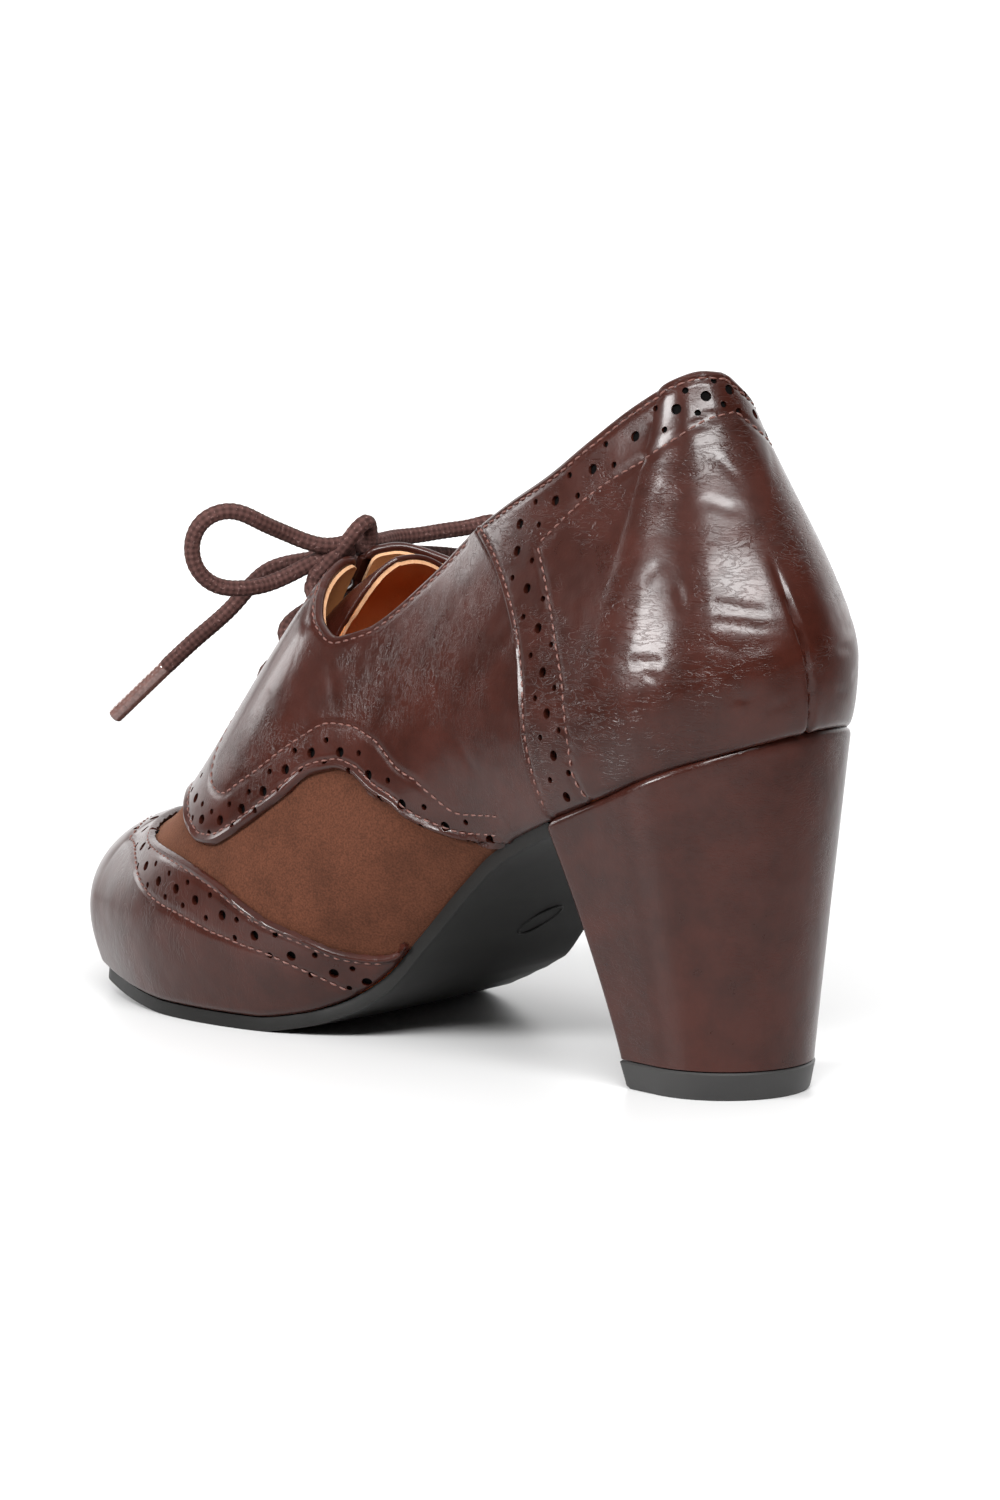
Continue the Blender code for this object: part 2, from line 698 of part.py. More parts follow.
# Insole: plate inside the wall.
insole_along = np.concatenate([np.linspace(0, 1, 8), np.linspace(1, 2, 17)[1:], np.linspace(2, 3, 8)[1:]])
slab("insole", insole_along, foot_bounds(-WALL - 0.0012), insole_top, insole_bottom, lining)

# Tongue: curved plate under the facings.
tongue_along = np.linspace(1.905, 1.615, 9)
tongue_up = np.concatenate([np.linspace(0.70, 1.0, 6), np.linspace(1.0, 0.70, 6)[1:]])
tongue_side = np.concatenate([np.full(6, OUTER), np.full(5, INNER)])
a, u = np.meshgrid(tongue_along, tongue_up)
side = np.broadcast_to(tongue_side[:, None], a.shape)
depth = WALL + SKIN_GAP + GAP
shell("tongue", skin(a, u, side, -depth), skin(a, u, side, -depth - TONGUE), False, lining)

# Toe cap: overlay from one wing end round the toe to the other.
wing_index = spread(WING, 18)
wing_along = monotone(np.arange(len(WING)), [row.along for row in WING], wing_index)
wing_up = monotone(np.arange(len(WING)), [row.up for row in WING], wing_index)
tip_along = np.linspace(2, 3, 8)[1:]
cap_along = np.concatenate([wing_along, tip_along, tip_along[-2::-1], wing_along[::-1]])
cap_up = np.concatenate([wing_up, np.ones(2 * len(tip_along) - 1), wing_up[::-1]])
cap_side = np.where(np.arange(len(cap_along)) < len(wing_along) + len(tip_along), OUTER, INNER)
foot_lead = np.interp(wing_index, [0, len(WING) - 1], [0.012, 0.0])
lead = np.concatenate([foot_lead, np.zeros(2 * len(tip_along) - 1), foot_lead[::-1]])
share = np.linspace(0, 1, 9)
a = cap_along[:, None] + lead[:, None] * (1 - share)
u = np.maximum(cap_up, WING_END)[:, None] * share
panel("toe_cap", a, u, np.broadcast_to(cap_side[:, None], a.shape), OVERLAY, leather)

# Quarters: overlay on each side, from the ridge back to the counter.
quarter_index = spread(QUARTER, 32)
numbers = np.arange(len(QUARTER))
low_along = monotone(numbers, [row.along for row in QUARTER], quarter_index)
low_up = monotone(numbers, [row.up for row in QUARTER], quarter_index)
top_place = monotone(numbers, [row.top for row in QUARTER], quarter_index)
edge_share = np.clip((quarter_index - 10) / (len(QUARTER) - 11), 0, 1) ** 2
for name, side in (("quarter_outer", OUTER), ("quarter_inner", INNER)):
    top_along, top_up, _ = collar_line(top_place, side)
    a, u = panel_grid(low_along, low_up, top_along, top_up, 8, edge_share)
    apart = np.where(u >= 0.999, 0.996, u)
    panel(name, a, apart, np.full_like(a, side), OVERLAY, leather)

# Counter: overlay round the heel up to the collar.
half_count = 15
counter_place = np.linspace(6.93, 0, half_count)
grids = []
for side in (OUTER, INNER):
    top_along, top_up, _ = collar_line(counter_place, side)
    low = np.linspace(1.090, 0, half_count)
    edge = np.clip(np.linspace(1, -0.6, half_count), 0, 1) ** 2
    a, u = panel_grid(low, 0 * low, top_along, top_up, 9, edge)
    grids.append((a, u, np.full_like(a, side)))
a, u, side = (np.concatenate([p, q[-2::-1]]) for p, q in zip(*grids))
panel("counter", a, u, side, COUNTER, leather)

# Lace: crossings over the throat, united into one solid.
first_run = tube("lace_crossings", crossing_path(OUTER, 0.0), LACE / 2, cotton)
second_run = tube("lace_crossing_other", crossing_path(INNER, 0.0013), LACE / 2, cotton)
join_union(first_run, second_run)

# Lace: knot, loops and ends of the bow.
knot = skin(KNOT_AT, 1.0, OUTER, KNOT_LIFT)
lump = skin(KNOT_AT, 1.0, OUTER, KNOT_LIFT - KNOT_SAG)
turn = np.linspace(-math.pi / 2, math.pi / 2, 9)[1:-1]
knot_path = lump + KNOT_SIZE / 2 * np.stack([0 * turn, np.sin(turn), 0 * turn], -1)
tube("lace_knot", knot_path, KNOT_SIZE / 2 * np.cos(turn), cotton, 10)
for name, steps in (("lace_loop_outer", LOOP_OUT), ("lace_loop_inner", LOOP_IN)):
    tube(name, bow_path(steps, True, 22), LACE / 2, cotton)
for name, steps in (("outer", END_OUT), ("inner", END_IN)):
    path = bow_path(steps, False, 10)
    tube("lace_end_" + name, path, LACE / 2, cotton)
    reach = path[-1] - path[-2]
    reach = reach / np.linalg.norm(reach)
    tip = path[-1] + reach * (GAP + np.linspace(0, AGLET_LENGTH, 4)[:, None])
    tube("lace_tip_" + name, tip, AGLET_WIDTH / 2, clear_tip)
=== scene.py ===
import math
from collections import namedtuple

import bpy
import numpy as np
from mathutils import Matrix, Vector


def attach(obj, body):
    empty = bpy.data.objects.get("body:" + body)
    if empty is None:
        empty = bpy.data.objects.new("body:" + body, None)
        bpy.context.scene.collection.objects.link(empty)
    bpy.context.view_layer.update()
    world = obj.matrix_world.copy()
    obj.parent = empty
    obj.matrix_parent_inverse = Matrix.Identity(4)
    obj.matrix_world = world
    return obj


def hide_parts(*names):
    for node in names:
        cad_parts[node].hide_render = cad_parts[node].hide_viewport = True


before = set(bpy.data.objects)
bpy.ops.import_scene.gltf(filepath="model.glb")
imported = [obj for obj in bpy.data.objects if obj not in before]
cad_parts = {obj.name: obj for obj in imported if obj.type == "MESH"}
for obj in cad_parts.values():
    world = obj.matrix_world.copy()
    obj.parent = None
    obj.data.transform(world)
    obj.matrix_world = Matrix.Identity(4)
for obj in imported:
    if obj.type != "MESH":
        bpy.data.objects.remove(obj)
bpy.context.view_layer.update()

# Lining of the upper: orange-brown microfibre with a cream back, pulled over the last before anything else.
# Its raw cut edge shows as a thin cream line inside the rolled collar.
# The shape of the last is worked out here, from the driving sizes of the shoe.
LENGTH = 0.222
BALL_HALF = 0.039
HEEL_HEIGHT = 0.078
INSTEP_HEIGHT = 0.100
SOLE = 0.0030
SOLE_GAP = 0.0003
WALL = 0.0018
X_BACK = LENGTH / 2 - 0.0017
Y_MIDDLE = -0.00235
HEEL_AXIS = 0.162 * LENGTH
TOE_AXIS = 0.896 * LENGTH
FULL_SHARE = 0.22
CROWN_PULL = 0.58
OPEN_PULL = 0.45
TOE_PITCH = 0.02
CLOSED_FROM = 0.600
TOE_TAPER = 0.8
TAB_OUT, TAB_IN = 0.0024, 0.0036
TAB_AT, TAB_UP, TAB_LONG, TAB_HIGH = 1.640, 0.96, 0.050, 0.140
HEEL_LEAN, HEEL_LEAN_END, HEEL_LEAN_RUN = 0.0025, 0.078, 0.05
HEEL_ROUND_END, HEEL_ROUND_RUN = 1.45, 0.35
TOE_POLE_FROM, TOE_POLE_UP, TOE_POLE_WAY = 1.98, 0.985, (0.12, 0.0, 1.0)
HEEL_BACK = {"foot": 0.0190 * LENGTH, "full": 0.0027 * LENGTH, "top": 0.133 * LENGTH}
TOE_TIP = {"foot": 0.964 * LENGTH, "full": 0.984 * LENGTH, "top": TOE_AXIS}
OUTER, INNER = -1.0, 1.0

# Sections of the last: place along the length, half-widths by half the ball width, heights by the instep.
Section = namedtuple(
    "Section", "at foot_out foot_in full_out full_in full_up top half_top crown upright axis"
)
SECTIONS = [
    Section(0.162, 0.700, 0.690, 0.764, 0.725, 0.145, 1.520, 0.205, 0.30, 0.21, 0.000),
    Section(0.270, 0.615, 0.705, 0.738, 0.782, 0.190, 1.400, 0.372, 0.30, 0.24, 0.000),
    Section(0.383, 0.513, 0.620, 0.731, 0.800, 0.260, 1.260, 0.308, 0.50, 0.36, -0.013),
    Section(0.495, 0.564, 0.700, 0.795, 0.880, 0.260, 1.140, 0.128, 0.85, 0.42, -0.064),
    Section(0.608, 0.782, 0.915, 0.918, 0.995, 0.210, 1.050, 0.000, 1.00, 0.45, -0.103),
    Section(0.721, 0.923, 1.000, 0.987, 1.045, 0.160, 0.760, 0.000, 1.00, 0.45, -0.090),
    Section(0.811, 0.872, 0.895, 0.936, 0.950, 0.140, 0.510, 0.000, 1.00, 0.48, -0.090),
    Section(0.896, 0.718, 0.690, 0.795, 0.765, 0.125, 0.390, 0.000, 1.00, 0.60, -0.090),
]

# Seat line, heel to toe, by the heel height, and the lift of the inner side at the arch in metres.
Seat = namedtuple("Seat", "at height")
SEAT = [
    Seat(0.009, 1.000),
    Seat(0.090, 0.910),
    Seat(0.162, 0.821),
    Seat(0.221, 0.746),
    Seat(0.279, 0.674),
    Seat(0.338, 0.590),
    Seat(0.392, 0.477),
    Seat(0.446, 0.331),
    Seat(0.495, 0.186),
    Seat(0.536, 0.110),
    Seat(0.581, 0.064),
    Seat(0.630, (SOLE + SOLE_GAP) / HEEL_HEIGHT),
    Seat(0.755, (SOLE + SOLE_GAP) / HEEL_HEIGHT),
    Seat(0.800, 0.050),
    Seat(0.856, 0.064),
    Seat(0.923, 0.088),
    Seat(0.982, 0.113),
    Seat(1.027, 0.136),
]
Arch = namedtuple("Arch", "at lift")
ARCH = [
    Arch(0.250, 0.0),
    Arch(0.380, 0.0005),
    Arch(0.450, 0.0012),
    Arch(0.485, 0.0020),
    Arch(0.520, 0.0038),
    Arch(0.555, 0.0046),
    Arch(0.590, 0.0040),
    Arch(0.625, 0.0026),
    Arch(0.660, 0.0008),
    Arch(0.690, 0.0),
    Arch(1.030, 0.0),
]

# Top edge of the wall. along: 0 heel back, 1 heel axis, 2 toe axis, 3 toe tip; up: 0 sole, 1 ridge.
Collar = namedtuple("Collar", "along up_out up_in below")
COLLAR = [
    Collar(0.000, 0.955, 0.955, 0.000),
    Collar(0.350, 0.962, 0.900, 0.300),
    Collar(0.700, 0.950, 0.868, 0.620),
    Collar(1.000, 0.930, 0.856, 0.950),
    Collar(1.094, 0.894, 0.848, 1.060),
    Collar(1.158, 0.862, 0.826, 1.120),
    Collar(1.231, 0.838, 0.808, 1.190),
    Collar(1.307, 0.800, 0.778, 1.260),
    Collar(1.362, 0.740, 0.728, 1.330),
    Collar(1.432, 0.684, 0.675, 1.400),
    Collar(1.480, 0.660, 0.655, 1.450),
    Collar(1.527, 0.656, 0.690, 1.500),
    Collar(1.576, 0.702, 0.800, 1.550),
    Collar(1.617, 0.800, 0.892, 1.590),
    Collar(1.640, 0.890, 0.955, 1.625),
    Collar(1.655, 0.984, 0.999, 1.665),
    Collar(1.735, 0.986, 0.999, 1.735),
    Collar(1.815, 0.984, 0.996, 1.810),
    Collar(1.850, 1.000, 1.000, 1.860),
    Collar(2.000, 1.000, 1.000, 2.000),
    Collar(2.500, 1.000, 1.000, 2.500),
    Collar(3.000, 1.000, 1.000, 3.000),
]
LINING_DEPTH, LINING_SINK = 0.0008, 0.0009
COLLAR_DROP, MET_UP = 0.020, 0.9995
LINING_COLUMNS, LINING_ROWS = 150, 36


def values(rows, key):
    """One column of a table."""
    return np.array([getattr(row, key) for row in rows])


def spline(rows, key, at):
    """Natural cubic through one column of a table against its first column."""
    x = np.array([row[0] for row in rows])
    y = values(rows, key)
    h = np.diff(x)
    n = len(x)
    left = np.eye(n)
    right = np.zeros(n)
    for i in range(1, n - 1):
        left[i, i - 1:i + 2] = h[i - 1], 2 * (h[i - 1] + h[i]), h[i]
        right[i] = 6 * ((y[i + 1] - y[i]) / h[i] - (y[i] - y[i - 1]) / h[i - 1])
    bend = np.linalg.solve(left, right)
    at = np.clip(at, x[0], x[-1])
    i = np.clip(np.searchsorted(x, at) - 1, 0, n - 2)
    a = (x[i + 1] - at) / h[i]
    b = 1 - a
    curve = ((a ** 3 - a) * bend[i] + (b ** 3 - b) * bend[i + 1]) * h[i] ** 2 / 6
    return a * y[i] + b * y[i + 1] + curve


def monotone(x, y, at):
    """Cubic through points that never runs past them, so that flat stretches stay flat."""
    x, y, at = np.asarray(x, float), np.asarray(y, float), np.asarray(at, float)
    h = np.diff(x)
    slope = np.diff(y) / h
    tangent = np.zeros(len(x))
    tangent[0], tangent[-1] = slope[0], slope[-1]
    for i in range(1, len(x) - 1):
        if slope[i - 1] * slope[i] > 0:
            w1, w2 = 2 * h[i] + h[i - 1], h[i] + 2 * h[i - 1]
            tangent[i] = (w1 + w2) / (w1 / slope[i - 1] + w2 / slope[i])
    at = np.clip(at, x[0], x[-1])
    i = np.clip(np.searchsorted(x, at) - 1, 0, len(x) - 2)
    t = (at - x[i]) / h[i]
    return (
        (1 + 2 * t) * (1 - t) ** 2 * y[i]
        + t * (1 - t) ** 2 * h[i] * tangent[i]
        + t * t * (3 - 2 * t) * y[i + 1]
        + t * t * (t - 1) * h[i] * tangent[i + 1]
    )


def at_row(rows, key, place):
    """A column of a table at places counted in rows."""
    return monotone(np.arange(len(rows)), values(rows, key), place)


def unit(vectors):
    """Vectors of length one."""
    return vectors / np.linalg.norm(vectors, axis=-1, keepdims=True)


def run_length(points):
    """Distance from the start of a line of points to each of them."""
    steps = np.linalg.norm(np.diff(points, axis=0), axis=1)
    return np.concatenate([[0], np.cumsum(steps)])


def seat_at(s, share):
    """Height of the seat across the foot: share is -1 at the outer edge and 1 at the inner edge."""
    height = monotone(values(SEAT, "at") * LENGTH, values(SEAT, "height") * HEEL_HEIGHT, s)
    height = height + share * HEEL_LEAN * np.clip((HEEL_LEAN_END - s) / HEEL_LEAN_RUN, 0, 1)
    lift = monotone(values(ARCH, "at") * LENGTH, values(ARCH, "lift"), s)
    return height + lift * ((1 + share) / 2) ** 2


def plan(along, side, level):
    """Distance from the heel, offset from the middle, and section place, of a level of the last."""
    heel = np.clip(along, 0, 1) * math.pi / 2
    toe = np.clip(along - 2, 0, 1) * math.pi / 2
    s = HEEL_AXIS + (TOE_AXIS - HEEL_AXIS) * np.clip(along - 1, 0, 1)
    at = s / LENGTH
    back = np.where(along < 1, np.cos(heel), 0.0)
    fore = np.where(along > 2, np.sin(toe), 0.0)
    across = np.where(along < 1, np.sin(heel), np.where(along > 2, np.cos(toe), 1.0))
    if level == "top":
        half = np.where(at >= CLOSED_FROM, 0.0, np.maximum(spline(SECTIONS, "half_top", at), 0.0))
    else:
        half_out = spline(SECTIONS, level + "_out", at)
        half_in = spline(SECTIONS, level + "_in", at)
        half = np.where(side < 0, half_out, half_in)
    axis = spline(SECTIONS, "axis", at) * BALL_HALF
    reach = TOE_TIP[level] - TOE_AXIS
    offset = across * half * BALL_HALF
    if level != "top":
        step = 0.01
        ends = SECTIONS[-1].at + np.array([-step, 0.0])
        run_out, run_in = (np.diff(spline(SECTIONS, level + way, ends))[0] for way in ("_out", "_in"))
        slope = np.where(side < 0, run_out, run_in) * BALL_HALF / (step * LENGTH)
        offset = offset + TOE_TAPER * slope * reach * fore * np.cos(toe)
    distance = s - back * (HEEL_AXIS - HEEL_BACK[level]) + fore * reach
    return distance, axis + side * offset, at


def tab_flare(along, up, side):
    """Rise of the tabs at the top of the facings."""
    near = np.exp(-(((along - TAB_AT) / TAB_LONG) ** 2) - ((up - TAB_UP) / TAB_HIGH) ** 2)
    return np.where(side < 0, TAB_OUT, TAB_IN) * near


def wall(along, up, side):
    """Point of the last's surface, as distance from the heel, offset and height."""
    along, up, side = np.broadcast_arrays(*(np.asarray(v, float) for v in (along, up, side)))
    s_foot, y_foot, at = plan(along, side, "foot")
    s_full, y_full, _ = plan(along, side, "full")
    s_top, y_top, _ = plan(along, side, "top")
    z_foot = seat_at(s_foot, side * np.sin(np.clip(along, 0, 1) * math.pi / 2))
    z_full = z_foot + spline(SECTIONS, "full_up", at) * INSTEP_HEIGHT
    z_top = spline(SECTIONS, "top", at) * INSTEP_HEIGHT
    crown = np.clip(spline(SECTIONS, "crown", at), 0, 1)
    upright = spline(SECTIONS, "upright", at)
    low = np.clip(up / FULL_SHARE, 0, 1)
    heel = np.clip((HEEL_ROUND_END - along) / HEEL_ROUND_RUN, 0, 1)
    swell = (1 - heel) * np.sin(low * math.pi / 2) + heel * np.sqrt(1 - (1 - low) ** 2)
    t = np.clip((up - FULL_SHARE) / (1 - FULL_SHARE), 0, 1)
    b0, b1, b2, b3 = (1 - t) ** 3, 3 * t * (1 - t) ** 2, 3 * t * t * (1 - t), t ** 3
    pull = CROWN_PULL * crown
    rise = z_top - z_full
    drop = np.where(along > 2, TOE_PITCH * pull * np.maximum(s_full - s_top, 0), 0.0)
    below = up < FULL_SHARE

    def blend(foot, full, top):
        bulge = top + pull * (full - top)
        return np.where(below, foot + (full - foot) * swell, full * (b0 + b1) + bulge * b2 + top * b3)

    z_crown = z_top - (1 - crown) * OPEN_PULL * rise - drop
    z = np.where(
        below,
        z_foot + (z_full - z_foot) * low,
        z_full * b0 + (z_full + upright * rise) * b1 + z_crown * b2 + z_top * b3,
    )
    z = z + tab_flare(along, up, side)
    return np.stack([blend(s_foot, s_full, s_top), blend(y_foot, y_full, y_top), z], -1)


def skin(along, up, side, lift):
    """Points at a distance outside the last's surface."""
    along, up, side, lift = np.broadcast_arrays(
        *(np.asarray(v, float) for v in (along, up, side, lift))
    )
    step = 0.004
    a0, a1 = np.clip(along - step, 0, 3), np.clip(along + step, 0, 3)
    inside = np.where(along >= TOE_POLE_FROM, np.minimum(up, TOE_POLE_UP), up)
    u0, u1 = np.clip(inside - step, 0, 1), np.clip(inside + step, 0, 1)
    lengthwise = wall(a1, inside, side) - wall(a0, inside, side)
    upwards = wall(along, u1, side) - wall(along, u0, side)
    normal = np.cross(upwards, lengthwise) * side[..., None]
    middle = (along <= 0) | (along >= 3) | ((up >= 1) & (along > 1.5))
    normal[..., 1] = np.where(middle, 0.0, normal[..., 1])
    normal[(up >= 1) & (along >= 2)] = TOE_POLE_WAY
    return wall(along, up, side) + lift[..., None] * unit(normal)


def to_frame(points):
    """Shoe distances to the part's frame: middle of the length at x = 0, toe towards -X."""
    points = np.asarray(points, float).copy()
    points[..., 0] = X_BACK - points[..., 0]
    points[..., 1] -= Y_MIDDLE
    return points


def collar_line(place, side):
    """Place on the wall's top edge: along, up and the matching place at the sole."""
    keys = ("along", "up_out" if side < 0 else "up_in", "below")
    return tuple(at_row(COLLAR, key, place) for key in keys)


def even(along, up, count, side=OUTER):
    """Index places that step evenly along a line on the last."""
    total = run_length(wall(along, up, side))
    return np.interp(np.linspace(0, total[-1], count), total, np.arange(len(along)))


def round_grid(columns, rows, short):
    """Along, up and side of the whole wall, ending a share short of the collar; outer side, then inner."""
    fine = np.linspace(0, len(COLLAR) - 1, 800)
    along, up, _ = collar_line(fine, OUTER)
    places = np.interp(even(along, up, columns), np.arange(len(fine)), fine)
    share = np.linspace(0, 1, rows)
    grids = []
    for side in (OUTER, INNER):
        along, up, below = collar_line(places, side)
        up = np.where(up < MET_UP, up - short, 1.0)
        a = below[:, None] + (along - below)[:, None] * share
        u = up[:, None] * share
        grids.append((a, u, np.full_like(a, side)))
    return [np.concatenate([p, q[::-1]]) for p, q in zip(*grids)]


def pulled_over(name, points):
    """A flat piece cut as a grid and pulled over the last: points by column and row."""
    columns, rows = points.shape[:2]
    bpy.ops.object.select_all(action="DESELECT")
    bpy.ops.mesh.primitive_grid_add(x_subdivisions=rows - 1, y_subdivisions=columns - 1, size=1.0)
    piece = bpy.context.object
    piece.name = name
    piece.data.name = name
    piece.data.vertices.foreach_set("co", to_frame(points).reshape(-1).astype(np.float32))
    piece.data.update()
    return piece


def merge_edges(piece, reach=0.00002):
    """Joins edges that meet, such as both sides at the ridge."""
    bpy.ops.object.mode_set(mode="EDIT")
    bpy.ops.mesh.select_all(action="SELECT")
    bpy.ops.mesh.remove_doubles(threshold=reach)
    bpy.ops.object.mode_set(mode="OBJECT")
    return piece


def choose(piece):
    """Selects one piece alone."""
    bpy.ops.object.select_all(action="DESELECT")
    bpy.context.view_layer.objects.active = piece
    piece.select_set(True)


def apply_modifier(piece, kind, **settings):
    """Adds a modifier with its settings and applies it."""
    choose(piece)
    made = piece.modifiers.new(kind.lower(), kind)
    for key, value in settings.items():
        setattr(made, key, value)
    bpy.ops.object.modifier_apply(modifier=made.name)


def thickened(piece, depth, **settings):
    """Gives a piece its substance, inwards from its face."""
    apply_modifier(piece, "SOLIDIFY", thickness=depth, offset=-1.0, use_rim=True, **settings)
    return piece


def smooth(piece, angle):
    """Smooth shading with edges kept where faces turn by more than an angle in degrees."""
    choose(piece)
    bpy.ops.object.shade_smooth_by_angle(angle=math.radians(angle))


def finished(piece, slot, *nodes):
    """The piece moves with the shoe and stands for its solids; its slot is not used."""
    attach(piece, "root")
    if nodes:
        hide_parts(*nodes)


def dressed(piece, look, angle, slot, *nodes):
    """Gives a piece its material and smooth shading, and finishes it."""
    piece.data.materials.append(look)
    smooth(piece, angle)
    finished(piece, slot, *nodes)


def lined(piece, depth):
    """Gives a lining its substance with a raw edge all round, and finishes it."""
    for look in (microfibre, raw_edge):
        piece.data.materials.append(look)
    thickened(piece, depth, material_offset_rim=1)
    smooth(piece, 40)
    finished(piece, "lining")


def linear(colour):
    """Hex sRGB colour as linear RGBA."""
    parts = [int(colour[i:i + 2], 16) / 255 for i in (1, 3, 5)]
    return tuple(c / 12.92 if c <= 0.04045 else ((c + 0.055) / 1.055) ** 2.4 for c in parts) + (1.0,)


def add_node(look, kind, output, sockets, **settings):
    """Adds a node and gives one of its outputs: sockets take a value or another node's output."""
    made = look.node_tree.nodes.new("ShaderNode" + kind)
    for key, value in settings.items():
        setattr(made, key, value)
    for socket, value in sockets.items():
        if isinstance(value, bpy.types.NodeSocket):
            look.node_tree.links.new(value, made.inputs[socket])
        else:
            made.inputs[socket].default_value = value
    return made.outputs[output]


def new_look(name, **sockets):
    """A Principled material with constant values set on its own sockets."""
    look = bpy.data.materials.new(name)
    look.use_nodes = True
    for socket, value in sockets.items():
        look.node_tree.nodes["Principled BSDF"].inputs[socket.replace("_", " ")].default_value = value
    return look


def drive(look, socket, source):
    """Links an output to a socket of the material's shader."""
    look.node_tree.links.new(source, look.node_tree.nodes["Principled BSDF"].inputs[socket])


# Microfibre: matt, short even nap with slow brown shading.
FIBRE_MM, SHADING_MM = 0.5, 18.0
microfibre = new_look("microfibre_lining", Roughness=0.85)
place = add_node(microfibre, "TexCoord", "Object", {})
slow = add_node(microfibre, "TexNoise", "Fac", {"Vector": place, "Scale": 1000 / SHADING_MM, "Detail": 3.0})
fibre = add_node(microfibre, "TexNoise", "Fac", {"Vector": place, "Scale": 1000 / FIBRE_MM, "Detail": 2.0})
tint = {0: slow, 6: linear("#b8683a"), 7: linear("#dc9256")}
drive(microfibre, "Base Color", add_node(microfibre, "Mix", 2, tint, data_type="RGBA"))
rough = {"Height": fibre, "Strength": 0.5, "Distance": 0.0002}
drive(microfibre, "Normal", add_node(microfibre, "Bump", "Normal", rough))

# Raw cut edge: cream core of the lining with short fibres.
FRAY_MM = 0.8
raw_edge = new_look("cream_raw_edge", Roughness=0.9)
place = add_node(raw_edge, "TexCoord", "Object", {})
fray = add_node(raw_edge, "TexNoise", "Fac", {"Vector": place, "Scale": 1000 / FRAY_MM, "Detail": 3.0})
tint = {0: fray, 6: linear("#a5754f"), 7: linear("#d2a883")}
drive(raw_edge, "Base Color", add_node(raw_edge, "Mix", 2, tint, data_type="RGBA"))
rough = {"Height": fray, "Strength": 0.6, "Distance": 0.0003}
drive(raw_edge, "Normal", add_node(raw_edge, "Bump", "Normal", rough))

along, up, side = round_grid(LINING_COLUMNS, LINING_ROWS, COLLAR_DROP)
lined(merge_edges(pulled_over("lining", skin(along, up, side, -LINING_SINK))), LINING_DEPTH)

# Vamp: brown suede over the whole last, seen between the toe cap and the quarters.
# The nap is brushed, so it shows soft darker patches, and it takes light at its grazing edges.
SUEDE_DEPTH, VAMP_SHORT = 0.0007, 0.010
VAMP_COLUMNS, VAMP_ROWS = 170, 48
NAP_MM, PATCH_MM = 0.45, 12.0
suede = new_look(
    "brown_suede", Roughness=0.95, Sheen_Weight=0.35, Sheen_Roughness=0.45,
    Sheen_Tint=linear("#b98468"), Specular_IOR_Level=0.15,
)
place = add_node(suede, "TexCoord", "Object", {})
patch = {"Vector": place, "Scale": 1000 / PATCH_MM, "Detail": 4.0, "Roughness": 0.65}
patch = add_node(suede, "TexNoise", "Fac", patch)
patch = add_node(suede, "MapRange", "Result", {"Value": patch, "From Min": 0.30, "From Max": 0.55})
nap = add_node(suede, "TexNoise", "Fac", {"Vector": place, "Scale": 1000 / NAP_MM, "Detail": 2.0})
upright = add_node(suede, "MapRange", "Result", {"Value": nap, "From Min": 0.3, "From Max": 0.7})
brushed = {0: patch, 6: linear("#47281b"), 7: linear("#553122")}
brushed = add_node(suede, "Mix", 2, brushed, data_type="RGBA")
napped = {0: upright, 6: linear("#6a6a6a"), 7: linear("#ffffff")}
napped = add_node(suede, "Mix", 2, napped, data_type="RGBA")
tint = {0: 0.55, 6: brushed, 7: napped}
drive(suede, "Base Color", add_node(suede, "Mix", 2, tint, data_type="RGBA", blend_type="MULTIPLY"))
rough = {"Height": nap, "Strength": 0.55, "Distance": 0.00025}
drive(suede, "Normal", add_node(suede, "Bump", "Normal", rough))

along, up, side = round_grid(VAMP_COLUMNS, VAMP_ROWS, COLLAR_DROP + VAMP_SHORT)
vamp = merge_edges(pulled_over("vamp_suede", skin(along, up, side, 0.0)))
dressed(thickened(vamp, SUEDE_DEPTH), suede, 40, "suede", "upper")

# Toe cap: wing-shaped piece of coated dark red-brown leather, its edge folded under and stitched down.
# A band along the edge is punched with large holes and pairs of small ones, over near-black discs that are
# partly black backing and partly painted shade inside the holes.
# The helpers for edges, stitches and punched holes stand here, because this piece needs them first.
CAP_DEPTH, CAP_WALL, CAP_DRAW = 0.0015, 0.045, 0.0012
CAP_HEM, CAP_SPREAD, CAP_LOWEST = 0.0017, 0.0026, 0.012
EDGE_ROUND = 0.0011
SEAT_LIFT, THINNEST = 0.0001, 0.00004
STITCH_PITCH, STITCH_LENGTH, STITCH_WIDTH = 0.0023, 0.0018, 0.00045
STITCH_ARCH, STITCH_DROP, STITCH_SINK, LOWEST_STITCH = 0.00032, 0.00014, 0.0003, 0.025
STITCH_SIDES, STITCH_TAPER = 6, (0.55, 0.95, 1.0, 0.95, 0.55)
BIG_HOLE, SMALL_HOLE = 0.0023, 0.0014
HOLE_SIDES, HOLE_STEPS = 14, 40
PUNCH_LOW, PUNCH_HIGH, BACKING_GROW = -0.0004, 0.0045, 1.25
Groove = namedtuple("Groove", "depth off width")
CAP_FOLD = Groove(0.0003, 0.0011, 0.0008)
HEM, BAND = Groove(0.0004, 0.0, 0.0006), Groove(0.0003, 0.0, 0.0007)
Mark = namedtuple("Mark", "along up")
WING = [
    Mark(1.412, 0.000),
    Mark(1.440, 0.030),
    Mark(1.484, 0.083),
    Mark(1.542, 0.166),
    Mark(1.597, 0.230),
    Mark(1.660, 0.289),
    Mark(1.760, 0.384),
    Mark(1.895, 0.566),
    Mark(1.955, 0.740),
    Mark(1.985, 0.900),
    Mark(2.000, 1.000),
]
